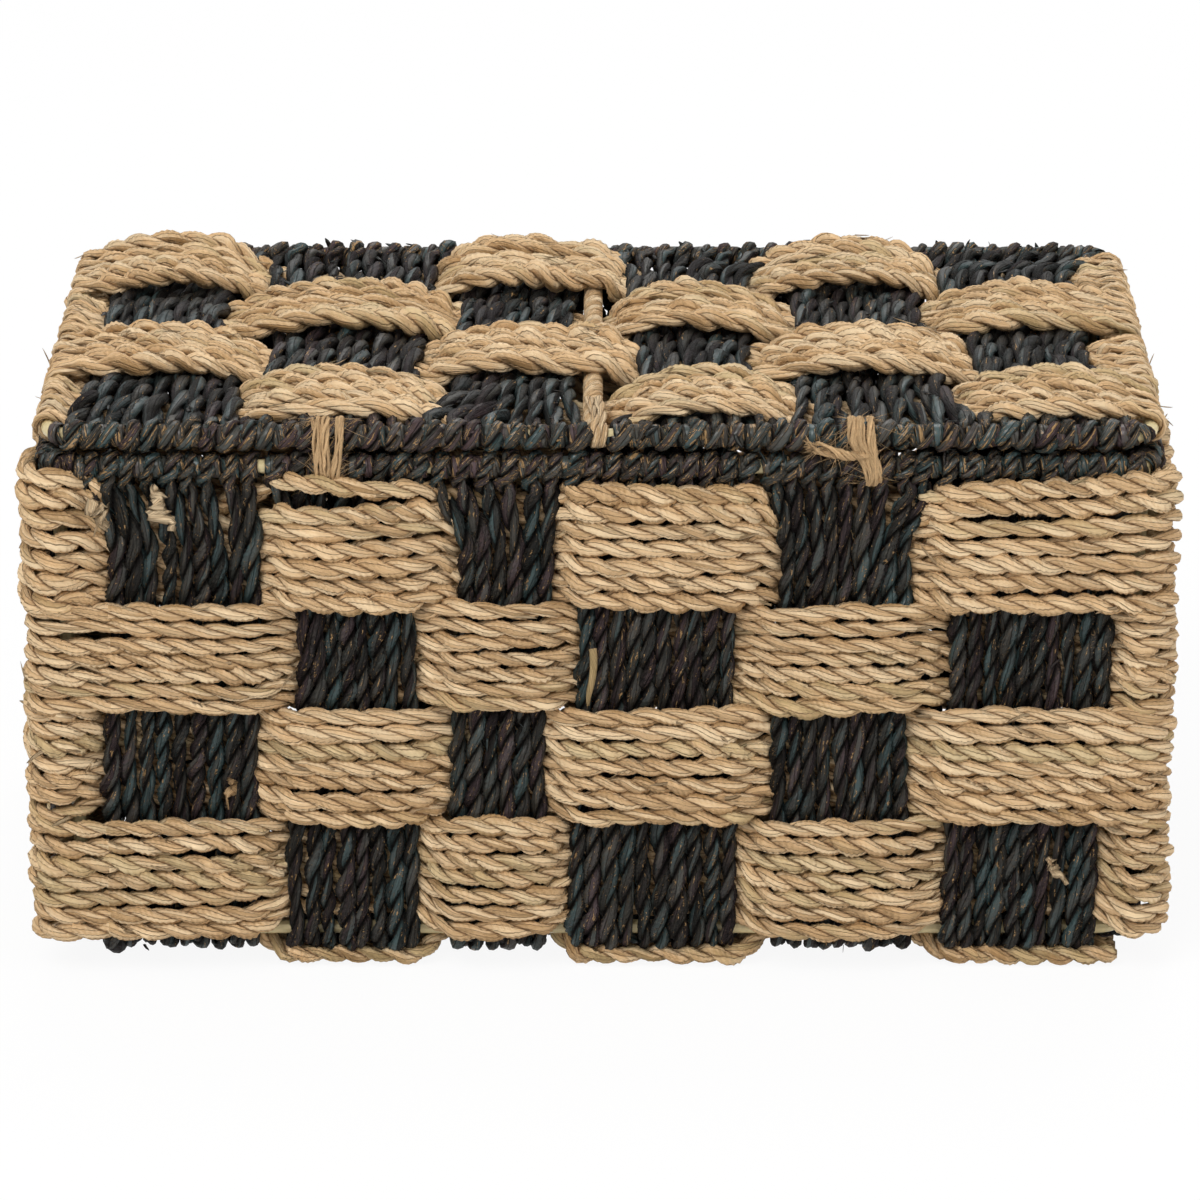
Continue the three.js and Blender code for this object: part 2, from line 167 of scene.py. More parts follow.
def bell_smooth(values, reach, closed):
    """Rounds a run of points, where reach is the bell curve's width in points."""
    if reach < 0.3:
        return values
    half = int(math.ceil(3 * reach))
    bell = np.exp(-0.5 * (np.arange(-half, half + 1) / reach) ** 2)
    bell /= bell.sum()
    if closed:
        padded = np.concatenate([values[-half:], values, values[:half]])
    else:
        before = 2 * values[:1] - values[half:0:-1]
        after = 2 * values[-1:] - values[-2:-half - 2:-1]
        padded = np.concatenate([before, values, after])
    return np.stack([np.convolve(column, bell, "valid") for column in padded.T], 1)


def lengths_along(line):
    """How far along a line each of its points lies."""
    return np.concatenate([[0], np.cumsum(np.linalg.norm(np.diff(line, axis=0), axis=1))])


def evenly(points, step, closed):
    """The same line with its points a step apart, and how far along each point lies."""
    line = np.concatenate([points, points[:1]]) if closed else points
    reach = lengths_along(line[:, :3])
    count = max(int(round(reach[-1] / step)), 3)
    places = np.linspace(0, reach[-1], count + 1)
    if closed:
        places = places[:-1]
    columns = [np.interp(places, reach, line[:, i]) for i in range(line.shape[1])]
    return np.stack(columns, 1), places, reach[-1]


def settle(points, reach, closed=False):
    """A rounded line through points of any number of columns, at a fine step."""
    line, _, _ = evenly(points, FINE_STEP, closed)
    return bell_smooth(line, reach / FINE_STEP, closed)


def drift(rng, places, length, wave, closed=False):
    """A slow random change along a cord, from about -1 to 1."""
    knots = max(int(round(length / wave)), 2)
    values = rng.uniform(-1, 1, knots + 1)
    if closed:
        values[-1] = values[0]
    spot = places / length * knots
    low = np.minimum(spot.astype(int), knots - 1)
    blend = (1 - np.cos(np.pi * (spot - low))) / 2
    return values[low] * (1 - blend) + values[low + 1] * blend


def ramp(values, start, reach):
    """Rises from 0 to 1 within a reach that begins at a start."""
    return np.clip((values - start) / reach, 0, 1)


def unit(vectors):
    return vectors / np.maximum(np.linalg.norm(vectors, axis=1, keepdims=True), 1e-9)


def headings(line, closed=False):
    """The direction of a line at each of its points."""
    return unit(np.roll(line, -1, 0) - np.roll(line, 1, 0) if closed else np.gradient(line, axis=0))


def outward_of(line, closed=False):
    """The outward normals of a flat line that runs anticlockwise."""
    ahead = headings(line, closed)
    return np.column_stack([ahead[:, 1], -ahead[:, 0]])


def arc(centre, radius, start, stop, count=9):
    turns = np.radians(np.linspace(start, stop, count))
    return np.column_stack([centre[0] + radius * np.cos(turns), centre[1] + radius * np.sin(turns)])


def two_strands(sides):
    """Section of two strands laid together, a cord's diameter wide: x and y of each corner."""
    centre, reach, thickness = 0.218, 0.282, 0.33
    crease = math.acos(-centre / reach)
    half = sides // 2
    turns = -crease + 2 * crease * np.arange(half) / half
    x = centre + reach * np.cos(turns)
    y = thickness * np.sin(turns)
    return np.stack([np.concatenate([x, -x]), np.concatenate([y, -y])], 1)


def one_strand(sides):
    """Round section of one strand, as wide as its diameter: x and y of each corner."""
    turns = 2 * np.pi * np.arange(sides) / sides
    return np.stack([np.cos(turns), np.sin(turns)], 1) / 2


class Bundle:
    """Collects cords, strands and fibres, and makes them one mesh."""

    slots = {"straw_cord": "natural_seagrass", "dyed_cord": "dark_seagrass", "tie_string": "jute"}

    def __init__(self, seed):
        self.rng = np.random.default_rng(seed)
        self.corners, self.faces, self.maps, self.caps = [], [], [], []
        self.tints, self.hues, self.creases = [], [], []
        self.lines = []
        self.count = 0

    def sweep(self, line, places, across, x, y, closed, tint, hue, folds=()):
        """Draws sections, given by their corners' x and y, along a line, sharp at the folds."""
        count, sides = x.shape
        ahead = headings(line, closed)
        side = unit(across - ahead * (across * ahead).sum(1, keepdims=True))
        out = np.cross(ahead, side)
        corners = line[:, None] + x[..., None] * side[:, None] + y[..., None] * out[:, None]
        self.corners.append(corners.reshape(-1, 3))
        spans = count if closed else count - 1
        ring = np.arange(spans)[:, None]
        near, far = ring * sides, ((ring + 1) % count) * sides
        k = np.arange(sides)[None]
        following = (k + 1) % sides
        quads = np.stack([near + k, near + following, far + following, far + k], -1)
        self.faces.append(quads.reshape(-1, 4) + self.count)
        here = places[:spans, None] + 0 * k
        there = np.append(places[1:], 2 * places[-1] - places[-2])[:spans, None] + 0 * k
        low, high = k / sides + 0 * here, (k + 1) / sides + 0 * here
        chart = np.stack([here, low, here, high, there, high, there, low], -1)
        self.maps.append(chart.reshape(-1, 2))
        self.tints.append(np.broadcast_to(tint, (count, sides)).reshape(-1))
        self.hues.append(np.broadcast_to(hue, (count, sides)).reshape(-1))
        sharp = np.zeros((count, sides), bool)
        sharp[:, list(folds)] = True
        self.creases.append(sharp.reshape(-1))
        if not closed:
            first = np.arange(sides)[::-1] + self.count
            self.caps += [first, np.arange(sides) + self.count + (count - 1) * sides]
        self.count += count * sides
        return out

    def round_strand(self, places, length, wave, facing, closed):
        """A random change along a strand and round it, for corners that face the given ways."""
        ways = 9
        columns = np.stack(
            [drift(self.rng, places, length, wave, closed) for _ in range(ways)], 1)
        spot = facing * ways / (2 * np.pi)
        low = np.floor(spot).astype(int)
        near = np.take_along_axis(columns, low % ways, 1)
        far = np.take_along_axis(columns, (low + 1) % ways, 1)
        return near + (far - near) * (spot - low)

    def cord(self, line, across, diameter, lay, closed=False, wide=1.0, flat=1.0,
             step=1.6 * MM, sides=14, rough=1.0, single=False, tight=1.0, worn=0.0):
        """One cord of two strands, or a single strand, along a line of points."""
        rng = self.rng
        line = np.asarray(line, float)
        across = np.broadcast_to(np.asarray(across, float), line.shape)
        shapes = [np.broadcast_to(value, len(line)) for value in (wide, flat, tight, worn)]
        packed, places, length = evenly(np.column_stack([line, across, *shapes]), step, closed)
        line, across, wide, flat, tight, worn = packed[:, :3], packed[:, 3:6], *packed[:, 6:].T
        lay = lay * rng.uniform(0.86, 1.18)
        turns = length / lay
        turns = round(turns) if closed else turns
        swing = 0.9 * rough * drift(rng, places, length, 2 * lay, closed)
        turn = 2 * np.pi * turns * np.cumsum(tight) / len(line) + rng.uniform(0, 6.3) + swing
        size = diameter * (1 + 0.1 * rough * drift(rng, places, length, 1.1 * lay, closed))
        if not closed:
            from_end = np.minimum(places, length - places) / diameter
            size = size * np.interp(from_end, [0, 0.25, 0.6], [0.45, 0.85, 1])
        form = one_strand(sides) if single else two_strands(sides)
        section = np.broadcast_to(form, (len(line), sides, 2)).copy()
        half = sides // 2
        tint = np.zeros((len(line), sides))
        hue = np.zeros((len(line), sides))
        whole_tint, whole_hue = rng.normal(0, 0.4), rng.normal(0, 0.3)
        strand_span = np.radians(281) * np.arange(half) / half
        for low in (0, half):
            strand = slice(low, low + half)
            swell = 1 + 0.2 * rough * drift(rng, places, length, 0.5 * lay, closed)
            section[:, strand] *= swell[:, None, None]
            leaf = drift(rng, places, length, 1.2 * lay, closed)
            tint[:, strand] = (whole_tint + 0.3 * rng.normal() + 0.6 * leaf + worn)[:, None]
            shade = drift(rng, places, length, 1.4 * lay, closed)
            hue[:, strand] = (whole_hue + 0.3 * rng.normal() + 0.6 * shade)[:, None]
            facing = strand_span + turn[:, None]
            dents = self.round_strand(places, length, 0.6 * lay, facing, closed)
            section[:, strand] *= 1 + 0.13 * rough * dents[..., None]
            tint[:, strand] += 0.5 * self.round_strand(places, length, 0.9 * lay, facing, closed)
            hue[:, strand] += 0.7 * self.round_strand(places, length, 0.9 * lay, facing, closed)
        cos, sin = np.cos(turn)[:, None], np.sin(turn)[:, None]
        x = section[:, :, 0] * cos - section[:, :, 1] * sin
        y = section[:, :, 0] * sin + section[:, :, 1] * cos
        # Painted shade: the tint is lowered at the cord's two sides, which lie in the gaps between
        # neighbouring cords
        tint -= 2.4 * ramp(np.abs(x), 0.34, 0.14) * (1 - single)
        out = self.sweep(
            line, places / lay + rng.integers(0, 40), across, x * (size * wide)[:, None],
            y * (size * flat)[:, None], closed, tint, hue, () if single else (0, half))
        self.lines.append((line, out, diameter * flat))

    def fibre(self, line, across, thickness, width, tint=0.0, hue=0.0, tip=0.2, sides=4):
        """One loose leaf or hair, which tapers to its free end."""
        line, places, length = evenly(np.asarray(line, float), 1.1 * MM, False)
        x, y = one_strand(sides).T[:, None]
        size = (thickness * np.interp(places / length, [0, 0.7, 1], [1, 0.9, tip]))[:, None]
        places = places / (15 * MM) + self.rng.integers(0, 40)
        self.sweep(line, places, np.broadcast_to(across, line.shape), x * (size * width),
                   y * size, False, tint, hue)

    def stray_fibres(self, number, side=1, length=(2.5 * MM, 8 * MM), thickness=0.24 * MM,
                     width=1.0, lift=0.35, slant=0.45):
        """Loose leaves or hairs that leave the cords along them and bend away."""
        rng = self.rng
        t = np.linspace(0, 1, 7)[:, None]
        bend = t ** 1.6
        for _ in range(number):
            line, out, thick = self.lines[rng.integers(len(self.lines))]
            spot = rng.integers(2, len(line) - 2)
            along = unit((line[spot + 1] - line[spot - 1])[None])[0] * rng.choice([-1, 1])
            outward = out[spot] * side
            across = np.cross(along, outward)
            sideways = across * rng.normal(0, slant)
            start = line[spot] + outward * 0.34 * thick[spot]
            start += across * rng.normal(0, 0.25) * thick[spot]
            reach = rng.uniform(*length)
            rise = outward * lift * rng.uniform(0.1, 1)
            path = start + reach * (along * t + sideways * bend + rise * bend)
            path[:, 2] = np.maximum(path[:, 2], 0.6 * MM)
            self.fibre(path, across, thickness * rng.uniform(0.7, 1.3),
                       width * rng.uniform(0.7, 1.3), rng.normal(0, 0.5), rng.normal(0, 0.6))

    def loose_leaves(self, number):
        self.stray_fibres(number, 1, (3 * MM, 7 * MM), 0.32 * MM, 3.2, 0.28, 0.35)

    def tuft(self, place, along, spread, number, length, width=3.5):
        """A frayed end: thin leaves that fan out from one place."""
        rng = self.rng
        along = unit(np.array([along], float))[0]
        t = np.linspace(0, 1, 7)[:, None]
        for _ in range(number):
            aim = unit((along + rng.normal(0, spread, 3))[None])[0]
            curl = rng.normal(0, 0.5, 3)
            reach = length * rng.uniform(0.5, 1.1)
            start = np.array(place) + rng.normal(0, 0.5 * MM, 3)
            path = start + reach * (aim * t + curl * t ** 2.2)
            self.fibre(path, unit(rng.normal(size=(1, 3)))[0], 0.34 * MM,
                       width * rng.uniform(0.6, 1.3), rng.normal(0.3, 0.5), rng.normal(0, 0.5))

    def crumple(self, place, down, folds, reach, fall, tint):
        """A cut cord end on the front: a leaf folded to and fro, with its tip hanging down."""
        rng = self.rng
        down, out = unit(np.array([down, (0, -1, 0)], float))
        across = np.cross(down, out)
        points = []
        for k in range(folds):
            way = (1 if k % 2 else -1) * reach * rng.uniform(0.35, 1.15)
            way += reach * 0.5 * rng.uniform(-1, 1)
            drop = down * fall * (k + rng.uniform(-0.2, 0.2))
            points.append(across * way + drop + out * rng.uniform(-0.3, 1.3) * MM)
        points.append(points[-1] * 0.98 + down * 3.5 * MM)
        line = np.array(place) + np.array(points)
        for shift in (0, 0.7 * MM):
            path = settle(line + out * shift + rng.normal(0, 0.3 * MM, line.shape), 0.5 * MM)
            self.fibre(path, unit((down + 0.6 * out * rng.normal())[None])[0], 0.6 * MM, 5.5,
                       rng.normal(tint, 0.4), rng.normal(0, 0.3), 0.8)

    def coil(self, wire, start, stop, lay, pitch=LEAF_WIDTH, diameter=LEAF_WIDTH,
             over=0.75 * MM, flat=0.28):
        """A flat leaf or cord wound round a wire between two places along it."""
        turns = (stop - start) / pitch
        t = np.linspace(0, turns, max(int(turns * 22), 8))
        centre, outward, along = wire(start + pitch * t)
        turn = self.rng.uniform(0, 6.3) - 2 * np.pi * t
        up = np.array([[0, 0, 1.0]])
        around = np.cos(turn)[:, None] * outward + np.sin(turn)[:, None] * up
        self.cord(centre + (WIRE_RADIUS + over) * around, along, diameter, lay,
                  wide=1.3 - flat + 0.28, flat=flat, sides=10, worn=3.8)

    def piece(self, name, look, body, *nodes):
        """Makes the mesh and hands it to its body."""
        corners = np.concatenate(self.corners)
        quads = np.concatenate(self.faces)
        chart = np.concatenate(self.maps)
        sizes = [len(cap) for cap in self.caps]
        loops = np.concatenate([quads.reshape(-1), *self.caps]).astype(np.int32)
        totals = np.concatenate([np.full(len(quads), 4), sizes]).astype(np.int32)
        starts = np.concatenate([[0], np.cumsum(totals)[:-1]]).astype(np.int32)
        mesh = bpy.data.meshes.new(name)
        mesh.vertices.add(len(corners))
        mesh.vertices.foreach_set("co", corners.astype(np.float32).reshape(-1))
        mesh.loops.add(len(loops))
        mesh.loops.foreach_set("vertex_index", loops)
        mesh.polygons.add(len(totals))
        mesh.polygons.foreach_set("loop_start", starts)
        mesh.polygons.foreach_set("use_smooth", np.ones(len(totals), bool))
        layer = mesh.uv_layers.new(name="cord")
        chart = np.concatenate([chart, np.zeros((len(loops) - len(chart), 2))])
        layer.uv.foreach_set("vector", chart.astype(np.float32).reshape(-1))
        for label, values in (("tint", self.tints), ("hue", self.hues)):
            attribute = mesh.attributes.new(label, "FLOAT", "POINT")
            attribute.data.foreach_set("value", np.concatenate(values).astype(np.float32))
        mesh.update(calc_edges=True)
        mesh.validate()
        ends = np.zeros(2 * len(mesh.edges), np.int32)
        mesh.edges.foreach_get("vertices", ends)
        sharp = np.concatenate(self.creases)[ends.reshape(-1, 2)].all(1)
        mesh.edges.foreach_set("use_edge_sharp", sharp)
        made = bpy.data.objects.new(name, mesh)
        bpy.context.scene.collection.objects.link(made)
        mesh.materials.append(finish_of(look))
        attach(made, body)
        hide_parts(*nodes)


# How the bands cross

def spans_of(shares, size):
    return [((centre - width / 2) * size, (centre + width / 2) * size) for centre, width in shares]


warp_spans = spans_of(warp_shares, 2 * half_width)
lid_warp_spans = spans_of(lid_warp_shares, 2 * half_width)
side_warp_spans = spans_of(side_warp_shares, 2 * half_depth)

# Heights of the edges of the natural bands on the walls, from the top
row_levels = np.linspace(rim_level - 4.8 * MM, WALL_FOOT, ROWS + 1)
row_levels += np.array([0, -1.8, 1.2, 1.2, 0]) * MM


def alternate(i, first=1):
    return first if i % 2 == 0 else -first


def wandering(span, nudges, rows, share=1.0):
    """Edges of a dark band where its weave is uneven, for places counted in rows."""
    middles = [0.5, 1.5, 2.5, 3.5]
    return [edge + share * MM * np.interp(rows, middles, [pair[side] for pair in nudges])
            for side, edge in enumerate(span)]


def crossing_points(spans, first, step, rng):
    """Where a band passes the bands that it crosses: place along, and height over their plane."""
    inset = 1.5 * MM
    points = []
    for i, (low, high) in enumerate(spans):
        over = alternate(i, first) > 0
        height = (step * (1 + rng.uniform(-0.05, 0.16)) if over
                  else -step * (1 + rng.uniform(-0.12, 0.0)))
        top = height * (1.12 if over else 1.0)
        points += [(low + inset, height), ((low + high) / 2, top), (high - inset, height)]
    return np.array(points)


def wall_ring(row, step, rng):
    """Middle line of one cord round the four walls: x, y and 1 where it is outside."""
    first = alternate(row, -1)
    uneven = [wandering(*band, row + 0.5) for band in zip(warp_spans, front_wander)]
    side_step = 1.3 * step
    front = crossing_points(uneven, first, step, rng)
    right = crossing_points(side_warp_spans, first, side_step, rng)
    back = crossing_points(warp_spans, -first, step, rng)[::-1]
    left = crossing_points(side_warp_spans, -first, side_step, rng)[::-1]
    sides = [
        (front[:, 0], -half_depth - front[:, 1], front[:, 1]),
        (half_width + right[:, 1], right[:, 0], right[:, 1]),
        (back[:, 0], half_depth + back[:, 1], back[:, 1]),
        (-half_width - left[:, 1], left[:, 0], left[:, 1]),
    ]
    reach = step + 1.6 * MM - WIRE_CORNER
    points = []
    for i, (way_x, way_y) in enumerate([(1, -1), (1, 1), (-1, 1), (-1, -1)]):
        centre = (way_x * (half_width + reach), way_y * (half_depth + reach))
        bend = arc(centre, WIRE_CORNER, 90 * i - 90, 90 * i, 6)
        points += [np.column_stack(sides[i]), np.column_stack([bend, np.full(6, step)])]
    line = np.concatenate(points)
    line[:, 2] = (line[:, 2] / step + 1) / 2
    return line


# Materials

class Value:
    """A socket that carries a number, with the usual operators."""

    def __init__(self, nodes, socket):
        self.nodes = nodes
        self.socket = socket

    def maths(self, operation, *others):
        return self.nodes.maths(operation, self, *others)

    def __add__(self, other):
        return self.maths("ADD", other)

    def __sub__(self, other):
        return self.maths("SUBTRACT", other)

    def __mul__(self, other):
        return self.maths("MULTIPLY", other)

    def __truediv__(self, other):
        return self.maths("DIVIDE", other)

    def __rsub__(self, other):
        return self.nodes.maths("SUBTRACT", other, self)

    def __rtruediv__(self, other):
        return self.nodes.maths("DIVIDE", other, self)

    __radd__ = __add__
    __rmul__ = __mul__

    def smooth(self, low, high, to_low=0.0, to_high=1.0):
        settings = {"interpolation_type": "SMOOTHSTEP"}
        return self.nodes.node("ShaderNodeMapRange", settings, [self, low, high, to_low, to_high])


class Nodes:
    """A node tree and the ways to add to it."""

    def __init__(self, owner):
        owner.use_nodes = True
        self.tree = owner.node_tree

    def node(self, kind, settings=None, sockets=(), output=0):
        """Adds a node, sets it up, fills its sockets by place or by name, and gives an output."""
        node = self.tree.nodes.new(kind)
        for name, value in (settings or {}).items():
            if name == "stops":
                self.set_stops(node.color_ramp, value)
            else:
                setattr(node, name, value)
        self.fill(node, sockets if isinstance(sockets, dict) else dict(enumerate(sockets)))
        return Value(self, node.outputs[output])

    @staticmethod
    def set_stops(band, stops):
        while len(band.elements) < len(stops):
            band.elements.new(1)
        for element, (place, colour) in zip(band.elements, stops):
            element.position = place
            element.color = (*colour, 1)

    def fill(self, node, sockets):
        for place, value in sockets.items():
            if isinstance(value, Value):
                self.tree.links.new(value.socket, node.inputs[place])
            else:
                node.inputs[place].default_value = value

    def maths(self, operation, *values):
        return self.node("ShaderNodeMath", {"operation": operation}, values)

    def seen(self, join):
        """1 for the rays of the camera, also those that were mirrored or went through glass."""
        rays = [self.node("ShaderNodeLightPath", output=name)
                for name in ("Is Camera Ray", "Is Glossy Ray", "Is Transmission Ray")]
        return rays[0].maths(join, rays[1]).maths(join, rays[2])


class Finish(Nodes):
    """One material and the nodes that make its look."""

    def __init__(self, name):
        self.material = bpy.data.materials.new(name)
        super().__init__(self.material)
        self.shader = next(n for n in self.tree.nodes if n.type == "BSDF_PRINCIPLED")

    def attribute(self, name):
        return self.node("ShaderNodeAttribute", {"attribute_name": name}, output=2)

    def mix(self, share, low, high, blend="MIX"):
        low, high = (end if isinstance(end, Value) else (*end, 1) for end in (low, high))
        settings = {"data_type": "RGBA", "blend_type": blend}
        return self.node("ShaderNodeMix", settings, {0: share, 6: low, 7: high}, output=2)

    def shades(self, level, *stops):
        """A colour for a level, blended between stops: the place and the colour of each."""
        return self.node("ShaderNodeValToRGB", {"stops": stops}, [level])

    def grey(self, level):
        return self.node("ShaderNodeCombineColor", {}, [level, level, level])

    def noise(self, place, scale, detail=2.0, roughness=0.5):
        return self.node("ShaderNodeTexNoise", {}, {
            "Vector": place, "Scale": scale, "Detail": detail, "Roughness": roughness})

    def grain(self, x, y, z, detail=2.0, roughness=0.5):
        place = self.node("ShaderNodeCombineXYZ", {}, [x, y, z])
        return self.noise(place, 1.0, detail, roughness)

    def strand_places(self):
        """Along a strand, round it, the crease between strands, and the strand's own numbers."""
        chart = self.node("ShaderNodeUVMap", {"uv_map": "cord"})
        along, around = (self.node("ShaderNodeSeparateXYZ", {}, [chart], i) for i in range(2))
        crease = (around * (2 * math.pi)).maths("SINE").maths("ABSOLUTE")
        return along, around + along * 0.64, crease, self.attribute("tint"), self.attribute("hue")

    def leaves(self, along, around, number):
        """The leaves a strand is rolled from: a random tone for each, its tilt, and its edges."""
        bend = self.grain(along * 0.9, around * 3, 0.0, 1.0)
        row = around * number + along * 0.8 + bend * 2.4
        tone = self.node("ShaderNodeTexWhiteNoise", {"noise_dimensions": "1D"},
                         {"W": row.maths("FLOOR")})
        across = row.maths("FRACT") - 0.5
        edge = across.maths("ABSOLUTE").smooth(0.38, 0.5)
        return tone, across * (tone - 0.5) * 2, edge

    def finish(self, colour, roughness, height, depth, specular=0.5, coat=None):
        bump = {"Strength": 1.0, "Distance": depth, "Height": height}
        self.fill(self.shader, {
            "Base Color": colour, "Roughness": roughness, "Specular IOR Level": specular,
            "Normal": self.node("ShaderNodeBump", {}, bump)})
        if coat:
            self.fill(self.shader, {"Coat Weight": coat, "Coat Roughness": 0.28})
        return self.material


def scaled(colour, share):
    return [share * c for c in colour]


def natural_material(finish, colours):
    along, around, crease, tint, hue = finish.strand_places()
    tone, tilt, edge = finish.leaves(along, around, 11)
    fine = finish.grain(along * 1.7, around * 60 + along * 2.5, hue * 2, 2.0, 0.6)
    broad = finish.grain(along * 1.6, around * 9 + along * 1.2, tint * 3)
    spots = finish.grain(along * 4, around * 22, tint * 9, 3.0, 0.7)
    level = tint * 0.11 + broad * 0.36 + fine * 0.44 + tone * 0.34 + 0.02
    colour = finish.shades(
        level, (0.2, colours.straw_deep), (0.46, colours.straw), (0.76, colours.straw_pale))
    colour = finish.mix(hue.smooth(0.3, 1.3) * 0.5, colour, colours.straw_green)
    colour = finish.mix(spots.smooth(0.64, 0.76) * 0.5, colour, colours.straw_deep)
    # Painted shade: some leaf edges and the creases between the strands are darkened towards the
    # crease shade colour
    colour = finish.mix(edge * broad.smooth(0.34, 0.6) * 0.75, colour, colours.straw_crease_shade)
    colour = finish.mix(crease.smooth(0.24, 0.0) * 0.85, colour, colours.straw_crease_shade)
    height = fine * 0.85 + broad * 0.6 + tilt * 2.1 - edge * 0.5
    return finish.finish(colour, fine * 0.25 + 0.5, height, 0.65 * MM, 0.2)


def dark_material(finish, colours):
    along, around, crease, tint, hue = finish.strand_places()
    tone, tilt, edge = finish.leaves(along, around, 9)
    fine = finish.grain(along * 1.7, around * 56 + along * 2.5, hue * 2, 2.0, 0.6)
    broad = finish.grain(along * 1.6, around * 8 + along, tint * 3)
    sliver = finish.grain(along * 4.5, around * 17 + along * 3, tint * 2 + 7, 2.5, 0.6)
    shade = hue + tone * 1.6 - 0.8
    colour = finish.mix(shade.smooth(-0.1, 1.0) * 0.9, colours.dye, colours.dye_teal)
    colour = finish.mix(shade.smooth(-0.3, -1.2) * 0.9, colour, colours.dye_plum)
    level = broad * 0.8 + fine * 1.3 + tone * 0.6 + tint * 0.15 + 0.08
    lighten = finish.grey(level.smooth(1.0, 2.0, 0.26, 2.6))
    colour = finish.mix(1.0, colour, lighten, "MULTIPLY")
    faded = scaled(colours.fleck, 0.16)
    sliver = sliver + tint * 0.02
    colour = finish.mix(sliver.smooth(0.56, 0.65) * 0.6, colour, faded)
    colour = finish.mix(sliver.smooth(0.65, 0.69), colour, colours.fleck)
    # Painted shade: leaf edges and the creases between the strands are darkened towards the crease
    # shade colour
    colour = finish.mix(edge * 0.6, colour, colours.dye_crease_shade)
    colour = finish.mix(crease.smooth(0.46, 0.04), colour, colours.dye_crease_shade)
    height = fine * 1.9 + broad * 0.9 + tilt * 2.3 - edge * 0.6
    gloss = crease.smooth(0.3, 0.85) * (1 - edge) * tone.smooth(0.1, 0.9, 0.05, 0.5)
    return finish.finish(
        colour, fine * 0.3 + 0.4, height, 0.7 * MM, 0.12, gloss * (tint * 0.1 + 1))


def jute_material(finish, colours):
    along, around, _, tint, hue = finish.strand_places()
    fine = finish.grain(along * 2.0, around * 14 + along * 3, hue * 3, 3.0, 0.7)
    deep = scaled(colours.jute, 0.5)
    pale = [min(1.4 * c, 0.9) for c in colours.jute]
    colour = finish.shades(fine + tint * 0.08, (0.25, deep), (0.55, colours.jute), (0.8, pale))
    return finish.finish(colour, fine * 0.2 + 0.75, fine, 0.4 * MM, 0.2)


def wire_material(finish, colours):
    place = finish.node("ShaderNodeTexCoord", {}, output=3)
    broad = finish.noise(place, 60.0, 3.0, 0.6)
    fine = finish.noise(place, 900.0, 2.0, 0.6)
    deep = scaled(colours.wire, 0.62)
    colour = finish.shades(broad * 0.7 + fine * 0.35, (0.3, deep), (0.6, colours.wire))
    return finish.finish(colour, fine * 0.2 + 0.25, fine + broad, 0.15 * MM, 0.5)


def floor_material():
    finish = Finish("pale_floor")
    grain = finish.noise(finish.node("ShaderNodeTexCoord", {}, output=3), 8.0)
    colour = finish.grey(grain * 0.01 + 0.93)
    finish.fill(finish.shader, {
        "Base Color": colour, "Roughness": 0.9, "Specular IOR Level": 0.1})
    white = finish.node("ShaderNodeEmission", {}, {"Color": (1, 1, 1, 1), "Strength": 1.0})
    shader = Value(finish, finish.shader.outputs[0])
    mixed = finish.node("ShaderNodeMixShader", {}, [finish.seen("ADD") * 0.92, shader, white])
    output = next(n for n in finish.tree.nodes if n.type == "OUTPUT_MATERIAL")
    finish.fill(output, {"Surface": mixed})
    return finish.material


def finish_of(name):
    """The named material, made when it is first asked for."""
    makers = {"straw_cord": natural_material, "dyed_cord": dark_material,
              "tie_string": jute_material, "wire_coat": wire_material}
    found = bpy.data.materials.get(name)
    return found or makers[name](Finish(name), bpy.context.scene.woven_box_colours)


# Pieces

def fan(place, strip, sleeve, wrap):
    """Place across a band: spread as on the strip, or as on the wire where wrap is 1."""
    on_strip = strip[0] + place * (strip[1] - strip[0])
    on_wire = sleeve[0] + place * (sleeve[1] - sleeve[0])
    return on_strip * (1 - wrap) + on_wire * wrap


def sleeve_ends(spans, limit, bare):
    """How far each band spreads along the wire, which stays bare for a length between two bands."""
    ends = []
    for i, (low, high) in enumerate(spans):
        start = -limit if i == 0 else (spans[i - 1][1] + low + bare[i - 1]) / 2
        stop = limit if i == len(spans) - 1 else (high + spans[i + 1][0] - bare[i]) / 2
        ends.append((start, stop))
    return ends


def wire_wrap(points, edge, level):
    """Share by which a cord is pressed flat on the wires that it turns round at both edges."""
    gap = np.min([np.hypot(points[:, 0] - y, points[:, 1] - level) for y in (-edge, edge)], axis=0)
    return ramp(-gap, -6.4 * MM, 2.2 * MM)


def ease(share):
    return share * share * (3 - 2 * share)


def mirrored(points):
    """The same points on the other side, in the opposite order."""
    return points[::-1] * np.array([-1, 1])


def rim_recess(x, half_length):
    """How far the wire has curved back at a place near its corner."""
    past = np.clip(np.abs(x) - (half_length - WIRE_CORNER), 0, 0.98 * WIRE_CORNER)
    return WIRE_CORNER - np.sqrt(WIRE_CORNER ** 2 - past ** 2)


def wire_run(side, level):
    """The wire of one side: for places along it, the points, the outward normals and directions."""
    lengthwise = side in LONG_SIDES
    half_length, half_across = (half_width, half_depth)[::1 if lengthwise else -1]
    straight = half_length - WIRE_CORNER
    sign = -1 if side in ("front", "left") else 1

    def run(places):
        turn = np.clip(np.abs(places) - straight, 0, None) / WIRE_CORNER
        way = np.sign(places)
        along = way * (np.minimum(np.abs(places), straight) + WIRE_CORNER * np.sin(turn))
        out = half_across - WIRE_CORNER + WIRE_CORNER * np.cos(turn)
        points = np.column_stack([along, sign * out, np.full(len(places), level)])
        normal = np.column_stack([way * np.sin(turn), sign * np.cos(turn), 0 * turn])
        heading = np.column_stack([np.cos(turn), -sign * way * np.sin(turn), 0 * turn])
        order = [0, 1, 2] if lengthwise else [1, 0, 2]
        return [vectors[:, order] for vectors in (points, normal, heading)]

    return run


